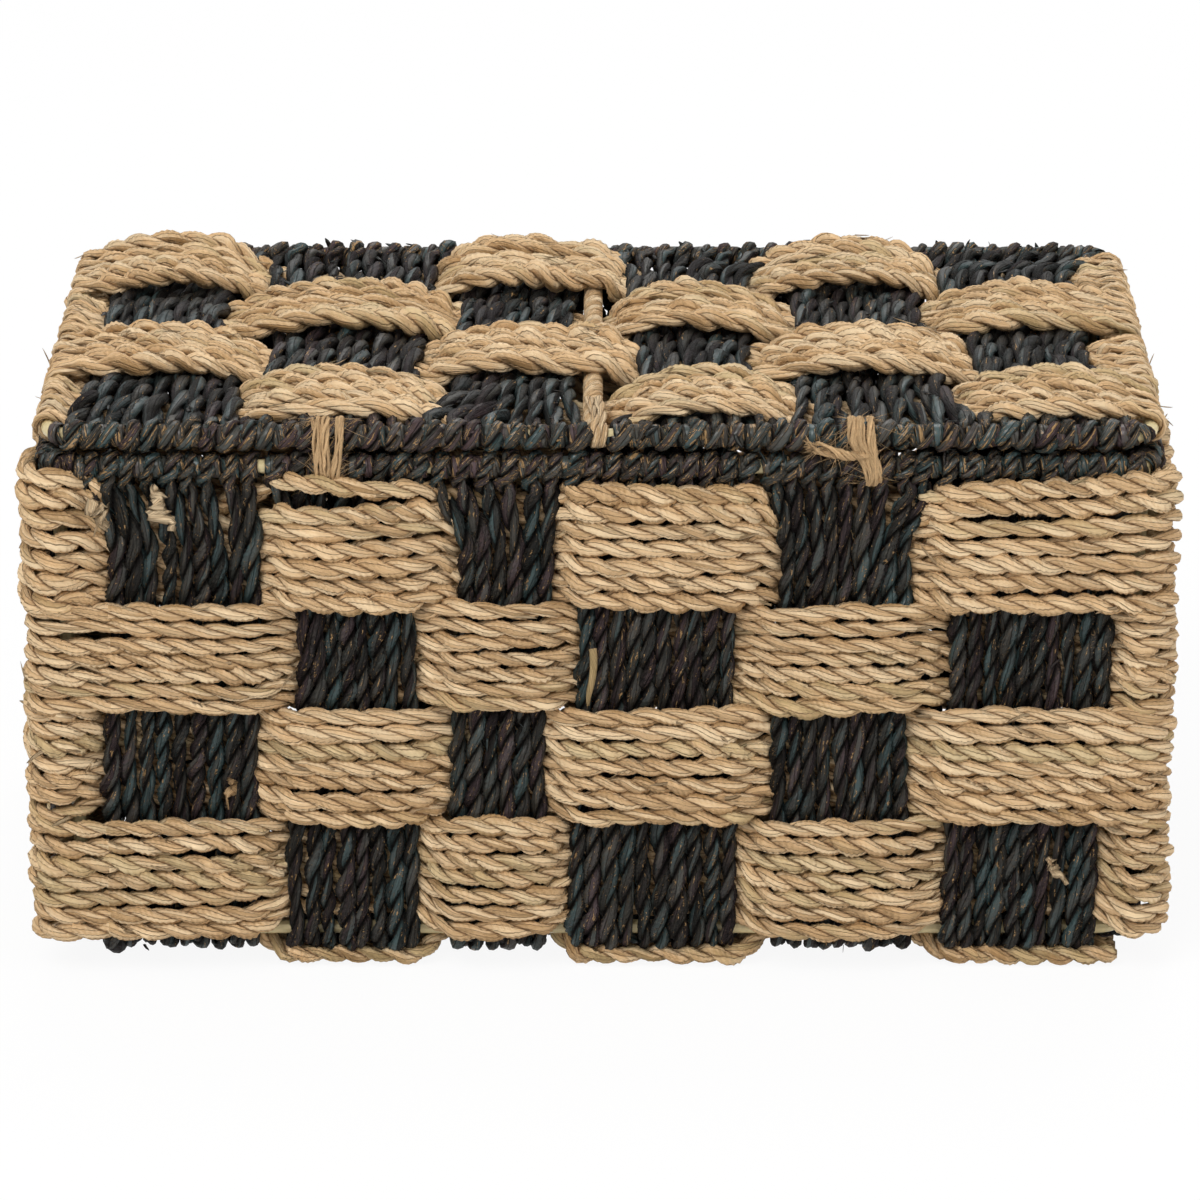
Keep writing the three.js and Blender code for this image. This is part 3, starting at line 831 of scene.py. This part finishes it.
class DarkRun:
    """The way that the cords of a dark band take, in the plane across the wires they turn round."""

    def __init__(self, points, edge, level, half_length):
        self.profile = settle(points, 0.9 * MM)
        self.heights = self.profile[:, 1]
        self.wrap = wire_wrap(self.profile, edge, level)
        self.lean = np.clip((self.heights - level) / (4 * MM), -1, 1) * self.wrap
        self.away = outward_of(self.profile)
        self.reach = lengths_along(self.profile)
        self.half_length = half_length

    def drift(self, rng, wave):
        return drift(rng, self.reach, self.reach[-1], wave)

    def rows(self):
        """How many rows of the walls lie over each point."""
        return np.interp(-self.heights, -row_levels, range(ROWS + 1))

    def wall_swing(self, first):
        """Out where the cord is seen, and in where a natural band covers it."""
        window = ramp(self.heights, row_levels[-1], 8 * MM)
        window = window * ramp(-self.heights, -row_levels[0], 8 * MM)
        side = np.where(self.profile[:, 0] < 0, first, -first)
        return 0.8 * MM * side * np.cos(np.pi * (self.rows() - 0.5)) * window

    def middle(self, across, shift, spread, lift=0):
        """Middle line of a cord, which follows the wire back at its corners."""
        middle = self.profile + self.away * shift[:, None]
        middle[:, 1] += lift
        middle[:, 0] -= np.sign(middle[:, 0]) * rim_recess(across, self.half_length) * spread
        return middle

    def cord(self, bundle, line, across, diameter, lay, pressed=0.36, rough=1.3,
             worn_on_wire=3.1, worn=0.7):
        wrap = self.wrap
        bundle.cord(line, across, diameter, lay, wide=1 - 0.1 * wrap, flat=1 - pressed * wrap,
                    step=1.4 * MM, sides=12, rough=rough, tight=1 + wrap,
                    worn=worn_on_wire * wrap + worn)


def rim_turn(edge):
    """A dark cord from inside a wall round the rim, down the wall and round the base ring."""
    return np.concatenate([
        [[-edge + 4.0 * MM, rim_level - 6.5 * MM]],
        arc((-edge, rim_level), RIM_TURN, 0, 215, 12),
        [[-edge - 0.3 * MM, rim_level - 7 * MM], [-edge, rim_level - 14 * MM]],
        arc((BASE_TURN - edge, base_wire_level), BASE_TURN, 180, 270, 6),
    ])


class WeaveStep(bpy.types.Operator):
    """Shared by the steps that weave cords"""

    bl_options = {"REGISTER", "UNDO"}

    def execute(self, context):
        self.weave(context.scene.woven_box_cords)
        return {"FINISHED"}


class WEAVE_OT_wall_bands(WeaveStep):
    """Weave the natural bands round the walls"""

    bl_idname = "woven_box.wall_bands"
    bl_label = "Wall bands"

    # Cut cord ends of the front: row, then x, distance from the wall and z in millimetres, the
    # way down, the number of folds, their reach and fall in millimetres, and the tint
    cuts = ((0, (-123, 4.5, 145.5), (0.1, -0.05, -1), 7, 2.9, 1.6, 0.9),
            (0, (-141, 6.5, 141), (0.75, 0, -0.7), 4, 2.4, 1.6, 0.9),
            (2, (-103, 4, 59), (0.1, -0.3, -1), 4, 1.8, 1.2, -2.2),
            (3, (127, 4, 35), (0.4, -0.3, -1), 5, 2, 1.2, 0.9))

    def weave(self, sizes):
        step = sizes.weave_step
        cords = sizes.cords_per_wall_band
        low_inside = base_wire_level + WIRE_RADIUS + 3 * MM
        high_inside = rim_level - 10 * MM
        for row in range(ROWS):
            bundle = Bundle(100 + row)
            rng = bundle.rng
            fullness = (row_levels[row] - row_levels[row + 1]) * ROWS
            fullness /= row_levels[0] - row_levels[ROWS]
            sway = rng.integers(1 << 30)
            slits = [(rng.uniform(0, 1), rng.uniform(0.5, cords - 1.5),
                      rng.uniform(0.25, 0.75) * MM, rng.uniform(5, 12) * MM) for _ in range(30)]
            for j in range(cords):
                share = (j + 0.5) / cords
                out_z = float(np.interp(row + share, range(ROWS + 1), row_levels))
                in_z = float(np.interp(
                    out_z, [row_levels[ROWS], 40 * MM, 115 * MM, row_levels[0]],
                    [low_inside, 41 * MM, 113 * MM, high_inside]))
                line = settle(wall_ring(row, step, rng), 2.6 * MM, True)
                flat = line[:, :2]
                reach = lengths_along(flat)
                length = reach[-1]
                outside = np.clip(line[:, 2], 0, 1)
                shown = np.clip(1.7 * outside, 0, 1)
                arch = bell_smooth(outside[:, None], 11 * MM / FINE_STEP, True)[:, 0]
                height = in_z + (out_z - in_z) * shown
                height -= (share - 0.5) * 4.2 * MM * (arch - 0.62) * outside
                shared = np.random.default_rng(sway)
                for source, amount, wave in ((rng, 0.4, 24), (rng, 0.3, 9), (shared, 0.7, 55)):
                    height += amount * MM * drift(source, reach, length, wave * MM, True)
                for place, split, amount, width in slits:
                    gap = np.abs(reach - place * length)
                    near = np.exp(-(np.minimum(gap, length - gap) / width) ** 2)
                    height += near * amount * np.sign(split - j) * 0.6 ** (abs(split - j) - 0.5)
                if row == 0:
                    height += self.loose_places(j, line[:, 0], line[:, 1])
                shift = 0.45 * MM * drift(rng, reach, length, 22 * MM, True)
                middle = flat + outward_of(flat, True) * shift[:, None]
                thick = sizes.natural_diameter * rng.uniform(0.9, 1.08) * fullness
                bundle.cord(np.column_stack([middle, height]), (0, 0, 1), thick,
                            sizes.natural_lay, True)
            bundle.stray_fibres(45, 1, (2 * MM, 6 * MM))
            bundle.loose_leaves(90)
            self.cut_ends(bundle, row)
            bundle.piece(f"wall_band_{row + 1}", "straw_cord", "box", f"wall_weft_{row + 1}")

    @staticmethod
    def loose_places(j, x, y):
        """Where the uppermost cords of the front lie higher than the rest of their band."""
        at_front = (y < 0).astype(float)
        rise = ramp(x, -105 * MM, 9 * MM) * ramp(-x, 46 * MM, 36 * MM) ** 0.8
        lift = 4.2 * MM * rise * at_front * np.interp(j, [0, 1, 2, 3], [1, -0.12, -0.05, 0])
        near_right = ramp(x, 92 * MM, 20 * MM) * at_front
        lift = lift + 1.8 * MM * near_right * (1 - j / 7)
        for way, rise, width in ((-1, 6 * MM, 19 * MM), (1, 2 * MM, 15 * MM)):
            near = np.exp(-((way * x - half_width) ** 2 + (y + half_depth) ** 2) / width ** 2)
            lift = lift + near * rise * (1 - j / 6)
        return lift

    def cut_ends(self, bundle, row):
        """Frayed cord ends that stick out of the front wall."""
        front = -half_depth
        for cut_row, (x, out, z), down, folds, reach, fall, tint in self.cuts:
            if cut_row == row:
                place = (x * MM, front - out * MM, z * MM)
                bundle.crumple(place, down, folds, reach * MM, fall * MM, tint)
        if row == 0:
            bundle.tuft((-137 * MM, front - 7 * MM, 139 * MM), (-0.4, -0.2, -0.9), 0.3, 5, 5 * MM)
        if row == 1:
            t = np.linspace(0, 1, 12)[:, None]
            leaf = np.array([[-2.0, 0, 98]]) * MM + t * np.array([[-0.9, 0, -17]]) * MM
            leaf[:, 0] += 0.5 * MM * np.sin(5 * t[:, 0])
            leaf[:, 1] = front - (4.3 + 0.9 * np.sin(3 * t[:, 0])) * MM
            bundle.fibre(leaf, (1, 0.5, 0.1), 0.6 * MM, 4.2, -3.4, 2.0, 0.4, 8)


class WEAVE_OT_upright_bands(WeaveStep):
    """Weave the dark bands that run from rim to rim under the base"""

    bl_idname = "woven_box.upright_bands"
    bl_label = "Upright bands"

    def weave(self, sizes):
        bare = np.array([1.8, -0.6, -0.6, 2.4, 1.8]) * MM
        sleeves = sleeve_ends(warp_spans, half_width - 3.2 * MM, bare)
        corner = sleeves[0][0]
        sleeves[0] = (warp_spans[0][0] - 4 * MM, sleeves[0][1])
        front = rim_turn(half_depth)
        run = DarkRun(np.concatenate([front, mirrored(front)]), half_depth, rim_level, half_width)
        wrap = run.wrap
        spread = ease(ramp(run.heights, rim_level - 24 * MM, 20 * MM))
        front_share = ramp(-run.profile[:, 0], half_depth - 12 * MM, 10 * MM)
        for i, (low, high) in enumerate(warp_spans):
            bundle = Bundle(200 + i)
            rng = bundle.rng
            number = int(round((high - low) / (4.55 * MM)))
            swing = run.wall_swing(alternate(i))
            strip = wandering((low, high), front_wander[i], run.rows(), front_share)
            for j in range(number):
                x = fan((j + 0.5) / number, strip, sleeves[i], spread)
                x = x + 0.6 * MM * run.drift(rng, 22 * MM) + 1.4 * MM * run.lean
                x = x + 1.1 * MM * run.drift(rng, 16 * MM) * spread * (1 - wrap)
                shift = swing + 0.5 * MM * run.drift(rng, 18 * MM) * (1 - wrap)
                shift += wrap * rng.uniform(-0.1, 0.4) * MM
                line = np.column_stack([x, run.middle(x, shift, spread)])
                thick = sizes.dark_diameter * rng.uniform(0.9, 1.08)
                run.cord(bundle, line, (1, 0, 0), thick, sizes.dark_lay)
            start, stop = sleeves[i]
            stop += 5.5 * MM * (i == len(warp_spans) - 1)
            for side in LONG_SIDES:
                wire = wire_run(side, rim_level)
                if i == 0:
                    bundle.coil(wire, corner - 5.5 * MM, start, 2 * sizes.dark_lay)
                    bundle.coil(wire, corner - 3 * MM, start + 2 * MM, sizes.dark_lay,
                                5.2 * MM, 5 * MM, 1.3 * MM, 0.55)
                bundle.coil(wire, start, stop, 2 * sizes.dark_lay)
            bundle.stray_fibres(40, 1, (1.5 * MM, 5 * MM), 0.2 * MM)
            bundle.stray_fibres(25, 1, (3 * MM, 7 * MM), 0.3 * MM, 2.6, 0.3, 0.4)
            bundle.piece(f"upright_band_{i + 1}", "dyed_cord", "box", f"warp_{i + 1}")


class WEAVE_OT_end_bands(WeaveStep):
    """Weave the dark bands of the short sides"""

    bl_idname = "woven_box.end_bands"
    bl_label = "End bands"

    def weave(self, sizes):
        number = 5
        sleeves = sleeve_ends(side_warp_spans, half_depth - 3.2 * MM, [0.4 * MM] * 5)
        foot = [[11 * MM - half_width, base_wire_level - BASE_TURN]]
        points = np.concatenate([rim_turn(half_width), foot])
        run = DarkRun(points, half_width, rim_level, half_depth)
        spread = ramp(run.heights, rim_level - 24 * MM, 20 * MM)
        for side, sign in (("left", -1), ("right", 1)):
            for i, span in enumerate(side_warp_spans):
                bundle = Bundle(300 + i + 10 * sign)
                rng = bundle.rng
                swing = run.wall_swing(alternate(i, sign))
                for j in range(number):
                    y = fan((j + 0.5) / number, span, sleeves[i], spread)
                    y = y + 0.4 * MM * run.drift(rng, 30 * MM) + 1.4 * MM * run.lean
                    shift = swing + 0.35 * MM * run.drift(rng, 25 * MM) * (1 - run.wrap)
                    middle = run.middle(y, shift, spread)
                    line = np.column_stack([middle[:, 0] * -sign, y, middle[:, 1]])
                    thick = 0.92 * sizes.dark_diameter * rng.uniform(0.9, 1.06)
                    run.cord(bundle, line, (0, sign, 0), thick, sizes.dark_lay)
                bundle.coil(wire_run(side, rim_level), *sleeves[i], 2 * sizes.dark_lay)
                bundle.stray_fibres(14, 1, (1.5 * MM, 5 * MM), 0.2 * MM)
                bundle.piece(f"end_band_{side}_{i + 1}", "dyed_cord", "box",
                             f"side_warp_{side}_{i + 1}")


class WEAVE_OT_base_bands(WeaveStep):
    """Weave the natural bands of the base"""

    bl_idname = "woven_box.base_bands"
    bl_label = "Base bands"

    def weave(self, sizes):
        cords = sizes.cords_per_wall_band
        step = 4.1 * MM
        level = base_wire_level - BASE_TURN
        edge_out = half_depth + 1.2 * MM
        edge_in = half_depth - BASE_TURN - WIRE_RADIUS - 0.4 * MM
        for row in range(ROWS):
            bundle = Bundle(400 + row)
            rng = bundle.rng
            for j in range(cords):
                share = (row + (j + 0.5) / cords) / ROWS
                out_y = -edge_out + 2 * edge_out * share
                in_y = -edge_in + 2 * edge_in * share
                x, drop = crossing_points(warp_spans, alternate(row, -1), step, rng).T
                short = np.where(drop[[0, -1]] > 0, 6, 13) * MM
                x[[0, -1]] = np.array([-1, 1]) * (half_width - short)
                line = settle(np.column_stack([x, drop, drop / step / 2 + 0.5]), 2.4 * MM)
                outside = np.clip(line[:, 2], 0, 1)
                y = in_y + (out_y - in_y) * outside
                y += 0.4 * MM * drift(rng, line[:, 0] + half_width, 2 * half_width, 26 * MM)
                thick = sizes.natural_diameter * rng.uniform(0.93, 1.05)
                z = np.maximum(level - line[:, 1], 0.56 * thick + 0.25 * MM)
                bundle.cord(np.column_stack([line[:, 0], y, z]), (0, 1, 0), thick,
                            sizes.natural_lay)
            bundle.piece(f"base_band_{row + 1}", "straw_cord", "box", f"base_weft_{row + 1}")


class WEAVE_OT_lid_dark_bands(WeaveStep):
    """Weave the dark bands of the lid"""

    bl_idname = "woven_box.lid_dark_bands"
    bl_label = "Lid dark bands"

    def weave(self, sizes):
        sleeves = sleeve_ends(lid_warp_spans, half_width - 4 * MM, [-0.6 * MM] * 5)
        after = sum(low < bar_centre for low, _ in lid_warp_spans)
        sleeves[after - 1] = (sleeves[after - 1][0], bar_centre - 1.4 * MM)
        sleeves[after] = (bar_centre + 4.8 * MM, sleeves[after][1])
        end = np.concatenate([
            [[-half_depth + 7.0 * MM, lid_level - 3.6 * MM]],
            arc((-half_depth, lid_level), RIM_TURN, -90, -270, 12),
            [[-half_depth + 6 * MM, lid_level + 1.2 * MM], [-half_depth + 12 * MM, lid_level]],
        ])
        run = DarkRun(np.concatenate([end, mirrored(end)]), half_depth, lid_level, half_width)
        wrap = run.wrap
        depths = run.profile[:, 0]
        spread = ease(ramp(np.abs(depths), half_depth - 32 * MM, 28 * MM))
        rows = ROWS * (depths + lid_edge) / (2 * lid_edge)
        window = ramp(-np.abs(depths), -lid_edge, 10 * MM)
        for i, (low, high) in enumerate(lid_warp_spans):
            bundle = Bundle(500 + i)
            rng = bundle.rng
            number = int(round((high - low) / (4.6 * MM)))
            swing = 1.7 * MM * alternate(i) * np.cos(np.pi * (rows - 0.5)) * window
            strip = wandering((low, high), lid_wander[i], rows)
            for j in range(number):
                x = fan((j + 0.5) / number, strip, sleeves[i], spread)
                x = x + 0.8 * MM * run.drift(rng, 20 * MM) + 1.6 * MM * run.lean
                shift = 0.8 * MM * run.drift(rng, 16 * MM) * (1 - wrap)
                shift += wrap * rng.uniform(-0.1, 0.5) * MM
                line = np.column_stack([x, run.middle(x, shift, spread, swing)])
                thick = 1.05 * sizes.dark_diameter * rng.uniform(0.9, 1.1)
                run.cord(bundle, line, (1, 0, 0), thick, sizes.dark_lay * 1.8, 0.34, 1.6, 4.3, -0.5)
            start, stop = sleeves[i]
            start -= 3 * MM * (i == 0)
            stop += 2 * MM * (i == len(lid_warp_spans) - 1)
            for side in LONG_SIDES:
                bundle.coil(wire_run(side, lid_level), start, stop, 2 * sizes.dark_lay)
            bundle.stray_fibres(40, -1, (1.5 * MM, 3.5 * MM), 0.2 * MM, 1.0, 0.2)
            bundle.stray_fibres(80, -1, (2 * MM, 4 * MM), 0.34 * MM, 3.4, 0.08, 0.6)
            bundle.piece(f"lid_dark_band_{i + 1}", "dyed_cord", "lid", f"lid_warp_{i + 1}")


class WEAVE_OT_lid_natural_bands(WeaveStep):
    """Weave the natural bands of the lid"""

    bl_idname = "woven_box.lid_natural_bands"
    bl_label = "Lid natural bands"
    rises = (5.0, 5.0, 5.6, 7.2)

    def weave(self, sizes):
        cords = sizes.cords_per_lid_band
        pitch = 2 * lid_edge / ROWS
        right = np.concatenate([
            [[half_width - 7 * MM, -3.7 * MM]],
            arc((half_width, 0), RIM_TURN + 0.2 * MM, -90, 95, 10),
        ])[::-1]
        for row in range(ROWS):
            bundle = Bundle(600 + row)
            rng = bundle.rng
            centre = -lid_edge + (row + 0.5) * pitch
            uneven = [wandering(*band, row + 0.5) for band in zip(lid_warp_spans, lid_wander)]
            for j in range(cords):
                share = (j + 0.5) / cords
                points = self.arches(uneven, alternate(row, -1), rng, self.rises[row] * MM)
                line = settle(np.concatenate([mirrored(right), points, right]), 1.0 * MM)
                inner = ramp(-np.abs(line[:, 0]), 4 * MM - half_width, 5 * MM)
                soft = bell_smooth(line, 3.0 * MM / FINE_STEP, False)
                line = line + (soft - line) * inner[:, None]
                reach = lengths_along(line)
                length = reach[-1]
                wrap = wire_wrap(line, half_width, 0)
                height = bell_smooth(line[:, 1:], 7 * MM / FINE_STEP, False)[:, 0]
                outside = np.clip(height / (5 * MM) * 0.5 + 0.5, 0, 1)
                loose = outside * inner + (1 - inner) * 0.9
                y = centre + (share - 0.5) * pitch * (0.66 + 0.32 * loose)
                y = y + 0.9 * MM * drift(rng, reach, length, 34 * MM)
                y = y + 0.5 * MM * drift(rng, reach, length, 11 * MM)
                z = line[:, 1] + lid_level + 0.5 * MM * drift(rng, reach, length, 30 * MM) * inner
                thick = 1.05 * sizes.natural_diameter * rng.uniform(0.92, 1.08)
                bundle.cord(np.column_stack([line[:, 0], y, z]), (0, 1, 0), thick,
                            sizes.natural_lay, wide=1 + 0.3 * wrap + 0.2 * inner,
                            flat=1 - 0.52 * wrap, rough=1.25)
            bundle.stray_fibres(10, 1, (2 * MM, 4 * MM))
            bundle.loose_leaves(40)
            bundle.piece(f"lid_natural_band_{row + 1}", "straw_cord", "lid", f"lid_weft_{row + 1}")

    @staticmethod
    def arches(spans, first, rng, rise):
        """Rise and fall of a cord over and under the dark bands and the middle bar."""
        points = []
        before = sum(low < bar_centre for low, _ in spans)
        for i, (low, high) in enumerate(spans):
            side = alternate(i, first)
            height = (rise if side > 0 else -4.4 * MM) * rng.uniform(0.92, 1.1)
            if i == before:
                beam = -5.6 * MM * side
                points += [(bar_centre - 2.6 * MM, beam), (bar_centre + 2.6 * MM, beam)]
            middle, reach = (low + high) / 2, (high - low) / 2
            points += [(low + 1.5 * MM, 0.64 * height), (middle - 0.5 * reach, 0.93 * height),
                       (middle, 1.05 * height), (middle + 0.5 * reach, 0.93 * height),
                       (high - 1.5 * MM, 0.64 * height)]
        return np.array(points)


class WEAVE_OT_bar_wrap(WeaveStep):
    """Wind natural cord round the lid's middle bar"""

    bl_idname = "woven_box.bar_wrap"
    bl_label = "Bar winding"

    def weave(self, sizes):
        bundle = Bundle(700)
        half_length = half_depth - 4 * MM
        turns = 17
        t = np.linspace(0, turns, turns * 24)
        radius = WIRE_RADIUS + 0.15 * MM
        for start, tint in ((0, -1.2), (0.5, 0.9)):
            line = np.column_stack([
                bar_centre + radius * np.cos(2 * np.pi * (t + start)),
                -half_length + 2 * half_length * t / turns,
                lid_level - radius * np.sin(2 * np.pi * (t + start))])
            bundle.fibre(line, (0, 1, 0), 1.5 * MM, 3.2, tint, 0.2, 1.0, 8)
        loop_start = half_depth - 26 * MM
        profile = settle(np.concatenate([
            [[loop_start, 3.0 * MM], [half_depth - 8 * MM, 3.7 * MM]],
            arc((half_depth, 0), RIM_TURN - 0.2 * MM, 100, -90, 9),
            [[half_depth - 9 * MM, -4.6 * MM]],
        ]), 1.2 * MM)
        for end in (-1, 1):
            past = ramp(profile[:, 0], loop_start, 20 * MM) * (end < 0)
            for offset in (-1.3 * MM, 1.5 * MM):
                x = bar_centre + offset * (1 - 0.3 * past) + 1.6 * MM * past
                path = np.column_stack([x, end * profile[:, 0], lid_level + profile[:, 1]])
                bundle.cord(path, (1, 0, 0), 3.1 * MM, 16 * MM, flat=0.65)
        bundle.stray_fibres(12, -1, (2 * MM, 4 * MM))
        bundle.piece("bar_winding", "straw_cord", "lid", "lid_bar_wrap")


class WEAVE_OT_hinge_ties(WeaveStep):
    """Lash the lid to the rim with jute string"""

    bl_idname = "woven_box.hinge_ties"
    bl_label = "Hinge ties"

    # How far from the middle of its tie each loop lies, at the top and at the foot, in millimetres
    spreads = (((-3.4, -2.4), (-0.8, -0.3), (3.2, 2.0)), ((-5.6, -0.6), (-3.2, 0.6), (-0.4, 1.7)))

    def weave(self, sizes):
        gap = lid_level - rim_level
        radius = 4.9 * MM
        string = sizes.jute_diameter
        loop = np.concatenate([arc((0, gap), radius, 180, 0), arc((0, 0), radius, 0, -180)])
        rise = ramp(loop[:, 1], 0, gap)
        for number, (name, centre) in enumerate(zip(("left", "right"), tie_centres)):
            bundle = Bundle(800 + number)
            for top, foot in self.spreads[number]:
                x = centre + (foot + (top - foot) * rise) * MM
                points = np.column_stack([x, -half_depth + loop[:, 0], rim_level + loop[:, 1]])
                self.string(bundle, settle(points, 1.2 * MM, True), string, closed=True)
            if number:
                knot = np.array([centre - 1 * MM, -half_depth - radius, rim_level + 0.5 * gap])
                steps = np.array([(0, 0.5, 0), (-3, -1.0, 0.2), (-8, -1.2, 1.0), (-15, -0.6, 3.0)])
                steps = steps * MM
                self.string(bundle, settle(knot + steps, 1.0 * MM), string, 1.7)
                bundle.tuft(knot + steps[-1], (-1, -0.1, 0.25), 0.14, 40, 1.8 * MM, 1.0)
            bundle.stray_fibres(420, 1, (2 * MM, 6 * MM), 0.14 * MM, 1.0, 0.8, 1.0)
            bundle.piece(f"hinge_string_{name}", "tie_string", "box", f"hinge_tie_{name}")

    @staticmethod
    def string(bundle, line, diameter, swell=1.0, closed=False):
        """A soft string: several thin strands beside and over one another along a line."""
        strands = 8
        line, places, length = evenly(line, FINE_STEP, closed)
        ahead = headings(line, closed)
        side = unit(np.array([[1.0, 0, 0]]) - ahead * ahead[:, :1])
        out = np.cross(ahead, side)
        thick = 0.36 * diameter
        reach = (thick * (1 + (swell - 1) * places / length))[:, None]
        for k in range(strands):
            turn = 2 * np.pi * (k / strands + places / length)
            turn = (turn + 1.2 * drift(bundle.rng, places, length, 7 * MM, closed))[:, None]
            path = line + side * reach * np.cos(turn) + out * 0.6 * reach * np.sin(turn)
            bundle.cord(path, (1, 0.01, 0.02), thick, 12 * MM, closed, step=0.9 * MM, sides=7,
                        rough=2.2, single=True)


class WEAVE_OT_wire(WeaveStep):
    """Coat the wire frames of the body and the lid"""

    bl_idname = "woven_box.wire"
    bl_label = "Coated wire"

    def weave(self, sizes):
        for name in ("body_frame", "lid_frame"):
            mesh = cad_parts[name].data
            mesh.materials.clear()
            mesh.materials.append(finish_of("wire_coat"))
            mesh.polygons.foreach_set("use_smooth", np.ones(len(mesh.polygons), bool))


class WEAVE_OT_stage(WeaveStep):
    """Set up the floor, the lamps and the camera"""

    bl_idname = "woven_box.stage"
    bl_label = "Stage"

    def execute(self, context):
        scene = context.scene
        bpy.ops.object.select_all(action="DESELECT")
        bpy.ops.mesh.primitive_plane_add(size=14, location=(0, 3, 0))
        floor = context.active_object
        floor.name = "floor"
        floor.data.materials.append(floor_material())
        self.lamp("key", (-0.9, -1.7, 2.3), 1.5, 49)
        self.lamp("fill", (1.9, -1.5, 1.4), 1.8, 17)
        self.lamp("back", (0.2, 1.6, 2.2), 1.6, 22)
        scene.world = self.studio()
        self.camera(scene, scene.woven_box_stage)
        scene.view_settings.view_transform = "Standard"
        return {"FINISHED"}

    @staticmethod
    def lamp(name, place, size, power):
        bpy.ops.object.light_add(type="AREA", location=place)
        lamp = bpy.context.active_object
        lamp.name = f"{name}_lamp"
        lamp.data.shape = "SQUARE"
        lamp.data.size = size
        lamp.data.energy = power
        x, y, z = np.array([0, 0, 0.08]) - np.array(place)
        lamp.rotation_euler = (math.atan2(math.hypot(x, y), -z), 0, math.atan2(-x, y))

    @staticmethod
    def studio():
        """White where the camera sees it, and a dimmer light on the box."""
        world = bpy.data.worlds.new("studio")
        nodes = Nodes(world)
        ground = nodes.tree.nodes["Background"]
        nodes.fill(ground, {"Color": (1, 1, 1, 1), "Strength": 0.46})
        white = nodes.node("ShaderNodeBackground", {}, {"Color": (1, 1, 1, 1), "Strength": 1.0})
        light = Value(nodes, ground.outputs[0])
        mixed = nodes.node("ShaderNodeMixShader", {}, [nodes.seen("MAXIMUM"), light, white])
        nodes.fill(nodes.tree.nodes["World Output"], {"Surface": mixed})
        return world

    @staticmethod
    def camera(scene, settings):
        lift = math.sin(settings.elevation) * settings.distance
        back = math.cos(settings.elevation) * settings.distance
        eye = (0, -back, 80 * MM + lift)
        bpy.ops.object.camera_add(location=eye)
        camera = bpy.context.active_object
        camera.name = "camera"
        camera.data.lens = settings.lens
        camera.data.sensor_width = 36
        camera.data.clip_end = 60
        camera.rotation_euler = (math.atan2(back, eye[2] - settings.aim_height), 0, 0)
        scene.camera = camera


class WEAVE_PT_box(bpy.types.Panel):
    """Lists the steps that make the box"""

    bl_label = "Woven Box"
    bl_idname = "WEAVE_PT_box"
    bl_space_type = "VIEW_3D"
    bl_region_type = "UI"
    bl_category = "Woven Box"

    def draw(self, context):
        for step in steps:
            self.layout.operator(step.bl_idname)
        for group in (context.scene.woven_box_cords, context.scene.woven_box_colours,
                      context.scene.woven_box_stage):
            column = self.layout.column()
            for name in group.bl_rna.properties.keys():
                if name not in ("rna_type", "name"):
                    column.prop(group, name)


groups = (CordSizes, BoxColours, StageSettings)
steps = (
    WEAVE_OT_wire, WEAVE_OT_wall_bands, WEAVE_OT_upright_bands, WEAVE_OT_end_bands,
    WEAVE_OT_base_bands, WEAVE_OT_lid_dark_bands, WEAVE_OT_lid_natural_bands,
    WEAVE_OT_bar_wrap, WEAVE_OT_hinge_ties, WEAVE_OT_stage)


def register():
    for made in (*groups, *steps, WEAVE_PT_box):
        bpy.utils.register_class(made)
    bpy.types.Scene.woven_box_cords = bpy.props.PointerProperty(type=CordSizes)
    bpy.types.Scene.woven_box_colours = bpy.props.PointerProperty(type=BoxColours)
    bpy.types.Scene.woven_box_stage = bpy.props.PointerProperty(type=StageSettings)


def unregister():
    del bpy.types.Scene.woven_box_stage
    del bpy.types.Scene.woven_box_colours
    del bpy.types.Scene.woven_box_cords
    for made in reversed((*groups, *steps, WEAVE_PT_box)):
        bpy.utils.unregister_class(made)


def main():
    register()
    for step in steps:
        package, name = step.bl_idname.split(".")
        getattr(getattr(bpy.ops, package), name)()


if __name__ == "__main__":
    main()
